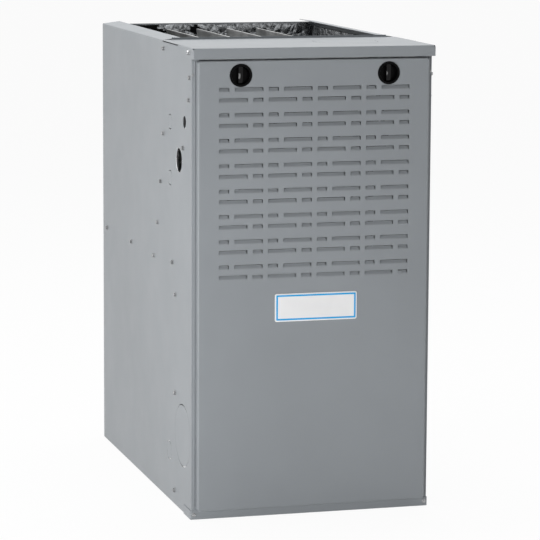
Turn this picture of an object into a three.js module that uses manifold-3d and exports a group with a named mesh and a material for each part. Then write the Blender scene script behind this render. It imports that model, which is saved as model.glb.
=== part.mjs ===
// Forced air gas furnace: an upflow furnace in a wrap-around sheet-metal cabinet with one louvered door.
// Millimetres, +Z up. Inside the cabinet group, x runs from the cabinet's left side, y runs from the
// plane of its front flanges to the back, and z runs up from the floor.
import * as THREE from "three";
import { mergeVertices } from "three/addons/utils/BufferGeometryUtils.js";
import Module from "manifold-3d";

const wasm = await Module();
wasm.setup();

// ---- driving dimensions ----

const CLEAR = 0.3; // running and seating gap between separate pieces
const SHEET = 0.9; // cabinet sheet
const PLATE = 1.2; // internal plates and brackets
const SEAT = 0.15; // how far one sheet's edge lies inside the sheet that it is welded to

const CASING_WIDTH = 445;
const CASING_DEPTH = 732;
const CASING_HEIGHT = 846;
const FRONT_FLANGE = 25;
const BASE_FLANGE = 25;
const DUCT_FLANGE = 34; // flange that the supply duct sits on, on the left and right
const DUCT_RISE = 4; // its inner edge stands this much higher than the cabinet's side

const COVER_PROUD = 17; // how far the top front cover stands in front of the flanges
const COVER_REACH = 215; // where its rear duct lip stands
const COVER_SKIRT = 21;
const COVER_SIDE_REACH = 94;
const COVER_LIP_INSET = 17;
const COVER_SEAM = 2.1; // open seam between the cover's side and the casing's side
const COVER_NOTCH = 2.6;
const VENT = { fromRight: 129, y: 110, knockout: 60, collar: 50, wall: 1.5, flange: 5, dot: 1.8 };

const HEADER_DROP = 39; // the header's lower edge, below the top of the cover
const HEADER_FLANGE = 18;

const RAIL_HEIGHT = 16.2;
const RAIL_SIDE_REACH = 50;
const RAIL_LEDGE = 20;

const DOOR_SHEET = 1;
const DOOR_PROUD = 14.5;
const DOOR_REVEAL = 8.5; // casing flange seen beside the door
const DOOR_GAP = 3; // black gap between the door and the cover
const DOOR_CORNER = 6;
const HOOK = { inset: 92, width: 20, reach: 12, nibFront: 8, nibBack: 9.2, drop: 3.2, slotFront: 5.5 };
const STRIKER = { fromRight: 65, belowDeck: 12, half: 8 };

const LOUVER = {
  pairs: 8, repeats: 4, short: 17.8, long: 52, gap: 11,
  below: 48, pairPitch: 45, rowStep: 18.7, height: 5.6, depth: 5, slit: 1.2,
};

const LATCH = {
  inset: 77.5, below: 24.5, bezel: 20.5, bezelProud: 1.1, bezelEdge: 0.7, cup: 17.6, cupWall: 1.2, cupBack: 1.3,
  grip: 8, disc: 1.5, shaft: 4, hub: 8, camReach: 24, camHalf: 6, camThick: 2.2, camBehind: 4, nut: 1.5,
};

const NAMEPLATE = { offCentre: 4, belowLouvers: 28.2, width: 153, height: 50.5, corner: 3.6, thick: 1.5 };
const PAD = { inset: 14, aboveRail: 17.5, belowDeck: 26, thick: 9 };

const DECK_BELOW_TOP = 402;
const DECK_FRONT = 8;
const DECK_SKIRT = 20;

const VESTIBULE_SETBACK = 2; // of its upright part, in front of the cover's duct lip
const VESTIBULE_SLOPE = 0.37; // its lower part slopes back towards the deck
const VESTIBULE_FLANGE = 18;

const LINER = 12; // foil-faced insulation
const LINER_DROP = 10; // below the top of the casing

const CELL = {
  count: 4, leftOfMiddle: 9.5, pitch: 62, thick: 34, wall: 1.3, bevel: 8, seam: 2, seamSetback: 8,
  inletAboveDeck: 116, outletBelowTop: 46, inletHalf: 24, outletHalf: 14, belowTop: 10, belowInlet: 38,
  inletProud: 8.6, outletProud: 2, frontTurnInset: 87, turnInset: 76, rearInset: 56,
};

const COLLECTOR = { overhang: 25, below: 110, above: 28, depth: 42.5 };

const INDUCER = {
  leftOfVent: 66, belowTop: 104, outletBelowTop: 26, small: 68, large: 93, endDeg: 60, depth: 67.5, wall: 2,
  eye: 30, wheel: 56, wheelFront: 12, wheelBack: 44, blades: 10, vaneThick: 1.4, vaneTurn: 0.5, shaft: 4,
  hub: 10, hubLength: 18, motor: 42, motorLength: 56, motorGap: 12, motorRim: 8, shaftInMotor: 30, standoff: 4,
};

const BURNER = { mouthAhead: 113, length: 122, mouth: 16, throat: 10, head: 18, wall: 1.2 };
const BURNER_BRACKET = { behindMouth: 32, overhang: 30, below: 30, above: 40, tabHalf: 10 };
const MANIFOLD = { aheadOfMouth: 20, radius: 10.7, spud: 6, spudGap: 2, overrun: 16 };
const MANIFOLD_STRAP = { along: 3, half: 5, fromCell: 29 };
const GAS_HOLE = { behindManifold: 10, aboveBurners: 79, radius: 22.5 };
const GAS_VALVE = {
  x: 100, half: 38, ahead: 25, behind: 40, halfHeight: 33, step: 8, boss: 16, bossReach: 12, solenoid: 12,
};
const VALVE_KNOB = { behindManifold: 8, radius: 12, height: 12, stem: 4, stemDepth: 9, barHalf: 2.5 };

const WIRE_HOLE = { y: 50, belowTop: 135, radius: 11 };
const JUNCTION_BOX = { reach: 49, ahead: 28, behind: 35, halfHeight: 36.5 };
const RETURN_KNOCKOUT = { y: 62, z: 141, radius: 57.5 };
const LOWER_KNOCKOUT = { y: 165, z: 93, radius: 17.5 };
const UPPER_KNOCKOUTS = { y: 158, belowTop: [144, 246], radius: 14 };
const KNOCKOUT_SLIT = 0.9;
const KNOCKOUT_WEB = 4;

const PROBE = { pastBurners: 5, reach: 13.7, halfY: 9, halfZ: 8, hole: 4 };
const IGNITER_ROD = { reach: 20, radius: 2.5 };
const SENSOR_ROD = { reach: 26, radius: 2 };
const ROLLOUT = { above: 25, radius: 10, depth: 11.7, tab: 16, button: 2.5, buttonProud: 4, travel: 1.5 };
const LIMIT = {
  besideCells: 66, belowTop: 86, flange: 16, flangeHalf: 10, thick: 2, body: 14, probe: 8, probeReach: 45,
};
const PRESSURE_SWITCH = {
  fromRight: 60, belowTop: 181, radius: 32, rim: 8, front: 150, thick: 35, footHalf: 10, nipple: 3, nippleLength: 10,
};
const HOSE_RADIUS = 4;
const HOSE_TAP = { above: 28, reach: 10 };

const BRACKET = { y: 100, left: 60, width: 270, belowDeck: 194, flange: 15 };
const BOARD = { left: 30, width: 150, above: 20, height: 115, standoff: 6.1, thick: 1.6 };
const BOARD_FOOT = { inset: 6, radius: 3 };
const RELAY = { count: 3, left: 12, pitch: 28, above: 12, width: 20, height: 24, depth: 16 };
const TERMINAL = { count: 5, left: 10, pitch: 14, below: 17, width: 9, height: 10, depth: 9 };
const PROCESSOR = { left: 50, above: 55, side: 26, depth: 4 };
const SOCKET = { left: 100, above: 48, width: 12, height: 40, depth: 12 };
const PLUG = { half: 11, below: 17, height: 13, depth: 12 };
const FUSES = { left: 124, above: 20, width: 12, height: 60, depth: 7 };
const TRANSFORMER = { left: 190, width: 62, above: 95, height: 60, depth: 50 };
const CAPACITOR = { left: 222, above: 12, height: 70, radius: 20 };
const DOOR_SWITCH = { half: 11, depth: 27, floor: 6, plunger: 3, travel: 3, tip: 1 };
const HARNESS_RADIUS = 5;
const HARNESS_PLUG = 111; // from the board's left edge
const HARNESS_HOLE = { fromRight: 95, y: 60, rim: 2 };

const BLOWER = {
  fromBack: 262, belowDeck: 199, small: 140, large: 175, endDeg: 115, width: 251, wall: 1,
  eye: 112, flange: 14, flangeDrop: 6, railLip: 10, railWeb: 3.5, railOverrun: 60, outletRim: 8,
  wheel: 127, wheelWidth: 200, rim: 5, bladeDepth: 15, bladeThick: 1.4, blades: 24, bladeTurn: 0.6,
  shaft: 6.35, shaftInMotor: 30, hub: 9, motor: 68, motorInset: 108, motorLength: 128,
  band: 8, bandThick: 2, arm: 12, armThick: 3.5, armReach: 141, foot: 14,
};

const STIFFENER = { y: 122, half: 10, reach: 12, bottom: 8, belowDeck: 29 };

// ---- places worked out from them ----

const DECK_Z = CASING_HEIGHT - DECK_BELOW_TOP;
const COVER_UNDERSIDE = CASING_HEIGHT - SHEET;
const WALL_TOP = COVER_UNDERSIDE - COVER_SEAM; // of the casing under the cover
const HEADER_TOP = COVER_UNDERSIDE - CLEAR;
const INSIDE = SHEET + CLEAR; // first clear place inside a casing side
const DECK_TOP = DECK_Z + PLATE + CLEAR; // first clear place above the deck
const DUCT_FRONT = COVER_REACH + 1.5; // where the side duct flanges start

const DOOR_LEFT = DOOR_REVEAL;
const DOOR_RIGHT = CASING_WIDTH - DOOR_REVEAL;
const DOOR_BOTTOM = RAIL_HEIGHT + CLEAR;
const DOOR_TOP = CASING_HEIGHT - COVER_SKIRT - DOOR_GAP;
const LATCH_Z = DOOR_TOP - LATCH.below;
const LATCH_LEFT = DOOR_LEFT + LATCH.inset;
const LATCH_RIGHT = DOOR_RIGHT - LATCH.inset;
const LOUVER_ROW = LOUVER.repeats * (LOUVER.short + LOUVER.long) + (2 * LOUVER.repeats - 1) * LOUVER.gap;
const LOUVER_LEFT = (CASING_WIDTH - LOUVER_ROW) / 2;
const LOUVER_TOP = DOOR_TOP - LOUVER.below;
const LOUVER_BOTTOM = LOUVER_TOP - LOUVER.height - (LOUVER.pairs - 1) * LOUVER.pairPitch - LOUVER.rowStep;
const STRIKER_AT = [CASING_WIDTH - STRIKER.fromRight, DECK_Z - STRIKER.belowDeck];

const CELL_SPAN = (CELL.count - 1) * CELL.pitch;
const FIRST_CELL = (CASING_WIDTH - CELL_SPAN) / 2 - CELL.leftOfMiddle;
const LAST_CELL = FIRST_CELL + CELL_SPAN;
const INLET_Z = DECK_Z + CELL.inletAboveDeck; // the burners' height too
const OUTLET_Z = CASING_HEIGHT - CELL.outletBelowTop;
const PASS_PITCH = (OUTLET_Z - INLET_Z) / 3;
const CELL_REAR = CASING_DEPTH - CELL.rearInset;
const VESTIBULE_Y = COVER_REACH - VESTIBULE_SETBACK;
const VESTIBULE_BEND = INLET_Z + PASS_PITCH;
const VESTIBULE_BACK = VESTIBULE_Y - CLEAR; // first clear place in front of it
const CELL_INLET_Y = vestibuleFront(INLET_Z) - CELL.inletProud;
const CELL_OUTLET_Y = VESTIBULE_Y - CELL.outletProud;
const CELL_FRONT_TURN = VESTIBULE_Y + CELL.frontTurnInset;

const VENT_X = CASING_WIDTH - VENT.fromRight;
const COLLECTOR_FRONT = VESTIBULE_BACK - COLLECTOR.depth;
const INDUCER_AT = [VENT_X - INDUCER.leftOfVent, CASING_HEIGHT - INDUCER.belowTop];
const INDUCER_BACK = COLLECTOR_FRONT - CLEAR;
const INDUCER_FRONT = INDUCER_BACK - INDUCER.depth;
const INDUCER_TOP = CASING_HEIGHT - INDUCER.outletBelowTop;
const WHEEL_FRONT = INDUCER_FRONT + INDUCER.wheelFront;
const WHEEL_BACK = INDUCER_FRONT + INDUCER.wheelBack;
const MOTOR_BACK = INDUCER_FRONT - INDUCER.motorGap;

const BURNER_MOUTH_Y = VESTIBULE_Y - BURNER.mouthAhead;
const BURNER_BRACKET_Y = BURNER_MOUTH_Y + BURNER_BRACKET.behindMouth;
const MANIFOLD_Y = BURNER_MOUTH_Y - MANIFOLD.aheadOfMouth;
const GAS_Y = MANIFOLD_Y + GAS_HOLE.behindManifold;
const GAS_Z = INLET_Z + GAS_HOLE.aboveBurners;
const KNOB_Y = MANIFOLD_Y + VALVE_KNOB.behindManifold;
const WIRE_Z = CASING_HEIGHT - WIRE_HOLE.belowTop;
const PROBE_Y = BURNER_MOUTH_Y + BURNER.length + PROBE.pastBurners;
const BRACKET_FACE = BRACKET.y - CLEAR;
const BRACKET_BOTTOM = DECK_Z - BRACKET.belowDeck;
const BOARD_BACK = BRACKET_FACE - BOARD.standoff;
const SWITCH_FRONT = DECK_FRONT + PLATE + CLEAR;

const BLOWER_Y = CASING_DEPTH - BLOWER.fromBack;
const BLOWER_Z = DECK_Z - BLOWER.belowDeck;
const BLOWER_LEFT = (CASING_WIDTH - BLOWER.width) / 2;
const BLOWER_RIGHT = BLOWER_LEFT + BLOWER.width;
const BLOWER_MIDDLE = (BLOWER_LEFT + BLOWER_RIGHT) / 2;
const BLOWER_AXIS = [BLOWER_Y, BLOWER_Z];
const BLOWER_FLANGE_Z = DECK_Z - BLOWER.flangeDrop;
const MOTOR_INNER = BLOWER_RIGHT - BLOWER.motorInset;

// ---- materials ----

function paint(color, roughness, metalness) {
  return () => new THREE.MeshStandardMaterial({ color, roughness, metalness });
}
const casingPaint = paint(0x9a9da0, 0.5, 0.1);
const doorPaint = paint(0x9a9da0, 0.5, 0.1);
const aluminised = paint(0x9a9c9b, 0.45, 0.8);
const galvanised = paint(0xaeb1b2, 0.4, 0.85);
const foil = paint(0xc4c6c8, 0.35, 0.8);
const blackPlastic = paint(0x0c0c0d, 0.25, 0);
const whitePlastic = paint(0xf2f4f6, 0.4, 0);
const darkMetal = paint(0x3a3d40, 0.5, 0.4);
const castMetal = paint(0x8b8e90, 0.55, 0.7);
const boardGreen = paint(0x1f5a3c, 0.5, 0);
const rubberBlack = paint(0x1a1a1a, 0.8, 0);
const brightSteel = paint(0xc8cacc, 0.3, 0.9);
const ceramicWhite = paint(0xe6e2d8, 0.7, 0);
const redPlastic = paint(0xb52a22, 0.4, 0);

// ---- solids ----

const X = new THREE.Vector3(1, 0, 0);
const Y = new THREE.Vector3(0, 1, 0);
const Z = new THREE.Vector3(0, 0, 1);

const GRID = 1000; // points lie on a grid of a thousandth of a millimetre, so that shared faces match

function toSolid(geometry) {
  geometry.deleteAttribute("normal");
  geometry.deleteAttribute("uv");
  const points = geometry.attributes.position.array;
  points.forEach((value, i) => { points[i] = Math.round(value * GRID) / GRID; });
  const merged = mergeVertices(geometry, 0.5 / GRID);
  const position = merged.attributes.position;
  const index = merged.index.array;
  const corner = [new THREE.Vector3(), new THREE.Vector3(), new THREE.Vector3()];
  const triangles = [];
  let volume = 0;
  for (let i = 0; i < index.length; i += 3) {
    const [a, b, c] = [index[i], index[i + 1], index[i + 2]];
    if (a === b || b === c || c === a) continue;
    triangles.push([a, b, c]);
    corner.forEach((v, k) => v.fromBufferAttribute(position, [a, b, c][k]));
    volume += corner[0].dot(corner[1].clone().cross(corner[2]));
  }
  if (volume < 0) triangles.forEach((t) => t.reverse());
  return new wasm.Manifold(new wasm.Mesh({
    numProp: 3,
    vertProperties: Float32Array.from(position.array),
    triVerts: Uint32Array.from(triangles.flat()),
  }));
}

// Ranges are [low, high] along each axis.
function box([x0, x1], [y0, y1], [z0, z1]) {
  const geometry = new THREE.BoxGeometry(x1 - x0, y1 - y0, z1 - z0);
  geometry.translate((x0 + x1) / 2, (y0 + y1) / 2, (z0 + z1) / 2);
  return toSolid(geometry);
}

// An outline of [a, b] points extruded along an axis: (y, z) along x, (x, z) along y, (x, y) along z.
function prism(axis, outline, from, to, holes = [], bevel = 0) {
  const toVectors = (points) => points.map(([a, b]) => new THREE.Vector2(a, b));
  const shape = new THREE.Shape(toVectors(outline));
  shape.holes = holes.map((hole) => new THREE.Path(toVectors(hole)));
  const geometry = new THREE.ExtrudeGeometry(shape, {
    depth: to - from - 2 * bevel,
    bevelEnabled: bevel > 0,
    bevelThickness: bevel,
    bevelSize: bevel,
    bevelOffset: -bevel,
    bevelSegments: 1,
  });
  if (axis === "x") {
    geometry.applyMatrix4(new THREE.Matrix4().makeBasis(Y, Z, X));
    geometry.translate(from + bevel, 0, 0);
  } else if (axis === "y") {
    geometry.applyMatrix4(new THREE.Matrix4().makeBasis(X, Z, Y.clone().negate()));
    geometry.translate(0, to - bevel, 0);
  } else {
    geometry.translate(0, 0, from + bevel);
  }
  return toSolid(geometry);
}

function circle(a, b, radius, sides = 24) {
  return Array.from({ length: sides }, (_, i) => {
    const angle = (i * 2 * Math.PI) / sides;
    return [a + radius * Math.cos(angle), b + radius * Math.sin(angle)];
  });
}

function rod(axis, [a, b], radius, from, to, sides = 24) {
  return prism(axis, circle(a, b, radius, sides), from, to);
}

function ring(axis, [a, b], outer, inner, from, to, sides = 24) {
  return prism(axis, circle(a, b, outer, sides), from, to, [circle(a, b, inner, sides)]);
}

function roundedRectangle(a0, a1, b0, b1, radius, steps = 3) {
  const corners = [[a1 - radius, b1 - radius], [a0 + radius, b1 - radius],
    [a0 + radius, b0 + radius], [a1 - radius, b0 + radius]];
  return corners.flatMap(([a, b], k) => Array.from({ length: steps + 1 }, (_, i) => {
    const angle = ((k + i / steps) * Math.PI) / 2;
    return [a + radius * Math.cos(angle), b + radius * Math.sin(angle)];
  }));
}

// A profile of [radius, height] points turned about a line along y.
function turned(x, y, z, profile, sides) {
  const points = [...profile, profile[0]].map(([r, h]) => new THREE.Vector2(r, h));
  const geometry = new THREE.LatheGeometry(points, sides);
  geometry.translate(x, y, z);
  return toSolid(geometry);
}

// A round tube along a smooth curve through the points.
function hose(points, radius, steps) {
  const path = new THREE.CatmullRomCurve3(points.map((p) => new THREE.Vector3(...p)));
  const section = new THREE.Shape(circle(0, 0, radius, 8).map(([a, b]) => new THREE.Vector2(a, b)));
  return toSolid(new THREE.ExtrudeGeometry(section, { steps, extrudePath: path, bevelEnabled: false }));
}

function join(...solids) {
  return solids.reduce((sum, solid) => sum.add(solid));
}

function cut(solid, ...tools) {
  return tools.reduce((rest, tool) => rest.subtract(tool), solid);
}

// The same x range measured from the left side or, mirrored, from the right side of the casing.
function fromSide(mirrored, low, high) {
  return mirrored ? [CASING_WIDTH - high, CASING_WIDTH - low] : [low, high];
}

// Outline of a scroll whose outlet goes up on its +a side, drawn in by a wall thickness.
function scroll({ a, b, small, large, endDeg, top, wall = 0 }, steps) {
  const radius = (turn) => large - ((large - small) * turn) / (2 * Math.PI) - wall;
  const cutoff = (endDeg * Math.PI) / 180;
  const outerCutoff = large - ((large - small) * (2 * Math.PI - cutoff)) / (2 * Math.PI);
  const innerWall = a + outerCutoff * Math.cos(cutoff) + wall;
  const lastRadius = radius(2 * Math.PI - cutoff);
  const end = 2 * Math.PI - Math.acos((innerWall - a) / lastRadius);
  const points = [[a + large - wall, top]];
  for (let i = 0; i <= steps; i++) {
    const turn = (end * i) / steps;
    points.push([a + radius(turn) * Math.cos(-turn), b + radius(turn) * Math.sin(-turn)]);
  }
  points.push([innerWall, top]);
  return points;
}

// ---- the cabinet ----

function vestibuleFront(z) {
  return VESTIBULE_Y + Math.max(0, VESTIBULE_BEND - z) * VESTIBULE_SLOPE;
}

// The slit of a knockout in a side of the casing, broken by two webs.
function knockoutSlit({ y, z, radius }) {
  const slit = ring("x", [y, z], radius, radius - KNOCKOUT_SLIT, -SHEET, 2 * SHEET, 16);
  const webs = box([-2 * SHEET, 3 * SHEET], [y - radius - 1, y + radius + 1],
    [z - KNOCKOUT_WEB / 2, z + KNOCKOUT_WEB / 2]);
  return slit.subtract(webs);
}

function casingBox() {
  const above = CASING_HEIGHT + 1;
  const block = box([0, CASING_WIDTH], [0, CASING_DEPTH], [0, CASING_HEIGHT]);
  const inside = box([SHEET, CASING_WIDTH - SHEET], [SHEET, CASING_DEPTH - SHEET], [SHEET, above]);
  const doorway = box([FRONT_FLANGE, CASING_WIDTH - FRONT_FLANGE], [-1, 2 * SHEET], [-1, above]);
  const base = box([BASE_FLANGE, CASING_WIDTH - BASE_FLANGE],
    [SHEET / 2, CASING_DEPTH - BASE_FLANGE], [-1, 2 * SHEET]);
  const underCover = box([-1, CASING_WIDTH + 1], [-1, DUCT_FRONT], [WALL_TOP, above]);
  return cut(block, inside, doorway, base, underCover);
}

// The flange along the top of one side, rising inwards; its outer edge lies inside the side's sheet.
function ductFlange(mirrored) {
  const place = (x) => (mirrored ? CASING_WIDTH - x : x);
  const seat = CASING_HEIGHT - SEAT;
  return prism("y", [
    [place(SEAT), seat - SHEET],
    [place(SEAT), seat],
    [place(DUCT_FLANGE), CASING_HEIGHT + DUCT_RISE],
    [place(DUCT_FLANGE), CASING_HEIGHT + DUCT_RISE - SHEET],
  ], DUCT_FRONT + SEAT, CASING_DEPTH - SHEET / 2);
}

function casingWrap() {
  const holes = [
    rod("x", [GAS_Y, GAS_Z], GAS_HOLE.radius, -1, 2 * SHEET, 20),
    rod("x", [WIRE_HOLE.y, WIRE_Z], WIRE_HOLE.radius, -1, 2 * SHEET, 20),
  ];
  const upper = UPPER_KNOCKOUTS.belowTop.map((below) => ({ ...UPPER_KNOCKOUTS, z: CASING_HEIGHT - below }));
  const slits = [RETURN_KNOCKOUT, LOWER_KNOCKOUT, ...upper].map(knockoutSlit);
  return cut(join(casingBox(), ductFlange(false), ductFlange(true)), ...holes, ...slits);
}

function topFrontCover() {
  const left = -CLEAR - SHEET;
  const right = CASING_WIDTH + CLEAR + SHEET;
  const front = -COVER_PROUD;
  const skirtFoot = CASING_HEIGHT - COVER_SKIRT;
  const block = box([left, right], [front, COVER_REACH], [skirtFoot, CASING_HEIGHT]);
  const beyond = COVER_REACH + 1;
  const underside = prism("z", [
    [left + SHEET, front + SHEET],
    [right - SHEET, front + SHEET],
    [right - SHEET, COVER_SIDE_REACH],
    [right + 1, COVER_SIDE_REACH],
    [right + 1, beyond],
    [left - 1, beyond],
    [left - 1, COVER_SIDE_REACH],
    [left + SHEET, COVER_SIDE_REACH],
  ], skirtFoot - 1, COVER_UNDERSIDE);
  const lip = box([COVER_LIP_INSET, CASING_WIDTH - COVER_LIP_INSET],
    [COVER_REACH - SEAT - SHEET, COVER_REACH - SEAT], [CASING_HEIGHT - SHEET / 2, CASING_HEIGHT + DUCT_RISE]);
  const notches = [false, true].map((mirrored) => box(
    fromSide(mirrored, left - 1, left + COVER_NOTCH),
    [front - 1, front + COVER_NOTCH],
    [CASING_HEIGHT - COVER_NOTCH, CASING_HEIGHT + 1],
  ));
  const through = [COVER_UNDERSIDE - 1, CASING_HEIGHT + 1];
  const web = box([VENT_X - KNOCKOUT_WEB / 2, VENT_X + KNOCKOUT_WEB / 2],
    [VENT.y - VENT.knockout - 2, VENT.y + VENT.knockout + 2], [COVER_UNDERSIDE - 2, CASING_HEIGHT + 2]);
  const slit = ring("z", [VENT_X, VENT.y], VENT.knockout, VENT.knockout - KNOCKOUT_SLIT, ...through);
  const dots = [-1, 1].map((side) => rod("z", [VENT_X + side * VENT.knockout, VENT.y], VENT.dot, ...through, 8));
  return cut(join(cut(block, underside), lip), ...notches, cut(slit, web), ...dots);
}

function frontHeader() {
  const y = SHEET + CLEAR;
  return prism("x", [
    [y, CASING_HEIGHT - HEADER_DROP],
    [y + SHEET, CASING_HEIGHT - HEADER_DROP],
    [y + SHEET, HEADER_TOP - SHEET],
    [y + HEADER_FLANGE, HEADER_TOP - SHEET],
    [y + HEADER_FLANGE, HEADER_TOP],
    [y, HEADER_TOP],
  ], INSIDE, CASING_WIDTH - INSIDE);
}

function hookPlaces() {
  return [DOOR_REVEAL + HOOK.inset, CASING_WIDTH - DOOR_REVEAL - HOOK.inset];
}

function bottomFrontRail() {
  const outside = -CLEAR - SHEET;
  const farOutside = CASING_WIDTH - outside;
  const wrap = prism("z", [
    [outside, outside],
    [farOutside, outside],
    [farOutside, RAIL_SIDE_REACH],
    [farOutside - SHEET, RAIL_SIDE_REACH],
    [farOutside - SHEET, -CLEAR],
    [-CLEAR, -CLEAR],
    [-CLEAR, RAIL_SIDE_REACH],
    [outside, RAIL_SIDE_REACH],
  ], 0, RAIL_HEIGHT);
  const inner = [FRONT_FLANGE + CLEAR, CASING_WIDTH - FRONT_FLANGE - CLEAR];
  const depth = [outside + SHEET / 2, RAIL_LEDGE];
  const foot = box(inner, depth, [SEAT, SEAT + SHEET]);
  const ledge = box(inner, depth, [RAIL_HEIGHT - SEAT - SHEET, RAIL_HEIGHT - SEAT]);
  const slots = hookPlaces().map((x) => box(
    [x - HOOK.width / 2 - 2 * CLEAR, x + HOOK.width / 2 + 2 * CLEAR],
    [HOOK.slotFront, HOOK.reach + CLEAR],
    [RAIL_HEIGHT - 3 * SHEET, RAIL_HEIGHT + 1],
  ));
  return cut(join(wrap, foot, ledge), ...slots);
}

function vestibulePanel() {
  const band = (near, far, low, high) => [
    [VESTIBULE_Y + near, high],
    [VESTIBULE_Y + near, VESTIBULE_BEND],
    [vestibuleFront(low) + near, low],
    [vestibuleFront(low) + far, low],
    [VESTIBULE_Y + far, VESTIBULE_BEND],
    [VESTIBULE_Y + far, high],
  ];
  const block = prism("x", band(0, VESTIBULE_FLANGE, DECK_TOP, HEADER_TOP), INSIDE, CASING_WIDTH - INSIDE);
  const behind = prism("x", band(PLATE, 2 * VESTIBULE_FLANGE, DECK_TOP - 1, HEADER_TOP + 1),
    INSIDE + SHEET, CASING_WIDTH - INSIDE - SHEET);
  const ports = cellPlaces().flatMap((x) => [[INLET_Z, CELL.inletHalf], [OUTLET_Z, CELL.outletHalf]]
    .map(([z, half]) => box(
      [x - CELL.thick / 2 - CLEAR, x + CELL.thick / 2 + CLEAR],
      [VESTIBULE_Y - 5, VESTIBULE_Y + 80],
      [z - half - CLEAR, z + half + CLEAR],
    )));
  const probe = rod("y", limitPlace(), LIMIT.probe + CLEAR, VESTIBULE_Y - 1, VESTIBULE_Y + 2 * PLATE, 12);
  return cut(block, behind, ...ports, probe);
}

// Front and back of the blower's outlet, which goes up through the deck.
function blowerOutlet() {
  const cutoff = (BLOWER.endDeg * Math.PI) / 180;
  const radius = BLOWER.large - ((BLOWER.large - BLOWER.small) * (2 * Math.PI - cutoff)) / (2 * Math.PI);
  return [BLOWER_Y + radius * Math.cos(cutoff), BLOWER_Y + BLOWER.large];
}

function blowerDeck() {
  const back = CASING_DEPTH - INSIDE;
  const block = box([INSIDE, CASING_WIDTH - INSIDE], [DECK_FRONT, back], [DECK_Z - DECK_SKIRT, DECK_Z + PLATE]);
  const underside = box([INSIDE + PLATE, CASING_WIDTH - INSIDE - PLATE], [DECK_FRONT + PLATE, back + 1],
    [DECK_Z - DECK_SKIRT - 1, DECK_Z]);
  const [outletFront, outletBack] = blowerOutlet();
  const outlet = box([BLOWER_LEFT + BLOWER.outletRim, BLOWER_RIGHT - BLOWER.outletRim],
    [outletFront + BLOWER.outletRim, outletBack - BLOWER.outletRim], [DECK_Z - 1, DECK_Z + 2 * PLATE]);
  const plunger = rod("y", STRIKER_AT, DOOR_SWITCH.plunger + 2 * CLEAR, DECK_FRONT - 1,
    DECK_FRONT + 2 * PLATE, 12);
  const grommet = rod("z", [CASING_WIDTH - HARNESS_HOLE.fromRight, HARNESS_HOLE.y],
    HARNESS_RADIUS + HARNESS_HOLE.rim, DECK_Z - 1, DECK_Z + 2 * PLATE, 12);
  return cut(block, underside, outlet, plunger, grommet);
}

function linerSide(mirrored) {
  const edge = VESTIBULE_FLANGE + PLATE;
  const back = CASING_DEPTH - INSIDE;
  const top = CASING_HEIGHT - LINER_DROP;
  return prism("x", [
    [VESTIBULE_Y + edge, top],
    [VESTIBULE_Y + edge, VESTIBULE_BEND],
    [vestibuleFront(DECK_TOP) + edge, DECK_TOP],
    [back, DECK_TOP],
    [back, top],
  ], ...fromSide(mirrored, INSIDE, INSIDE + LINER));
}

function linerBack() {
  return box(
    [INSIDE + LINER + CLEAR, CASING_WIDTH - INSIDE - LINER - CLEAR],
    [CASING_DEPTH - INSIDE - LINER, CASING_DEPTH - INSIDE],
    [DECK_TOP, CASING_HEIGHT - LINER_DROP],
  );
}

function sideStiffener(mirrored) {
  const place = (x) => (mirrored ? CASING_WIDTH - x : x);
  const [front, back] = [STIFFENER.y - STIFFENER.half, STIFFENER.y + STIFFENER.half];
  const [wall, edge] = [place(INSIDE), place(INSIDE + STIFFENER.reach)];
  const web = place(INSIDE + SHEET);
  return prism("z", [
    [wall, front], [edge, front], [edge, front + SHEET], [web, front + SHEET],
    [web, back - SHEET], [edge, back - SHEET], [edge, back], [wall, back],
  ], STIFFENER.bottom, DECK_Z - STIFFENER.belowDeck);
}

// ---- the door ----

// Every louver's left edge, width and lower edge.
function louverPlaces() {
  const places = [];
  for (let pair = 0; pair < LOUVER.pairs; pair++) {
    for (const row of [0, 1]) {
      const z = LOUVER_TOP - LOUVER.height - pair * LOUVER.pairPitch - row * LOUVER.rowStep;
      let x = LOUVER_LEFT;
      for (let i = 0; i < 2 * LOUVER.repeats; i++) {
        const width = (i + row) % 2 === 0 ? LOUVER.short : LOUVER.long;
        places.push({ x, z, width });
        x += width + LOUVER.gap;
      }
    }
  }
  return places;
}

// The sheet pressed in behind a louver: joined along its lower edge, open along its top.
function louverBlade({ x, z, width }) {
  const front = -DOOR_PROUD;
  const rise = LOUVER.height - LOUVER.slit;
  return prism("x", [
    [front, z],
    [front + LOUVER.depth, z + rise],
    [front + LOUVER.depth + DOOR_SHEET * 0.7, z + rise - DOOR_SHEET * 0.7],
    [front + DOOR_SHEET, z],
  ], x, x + width);
}

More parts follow.
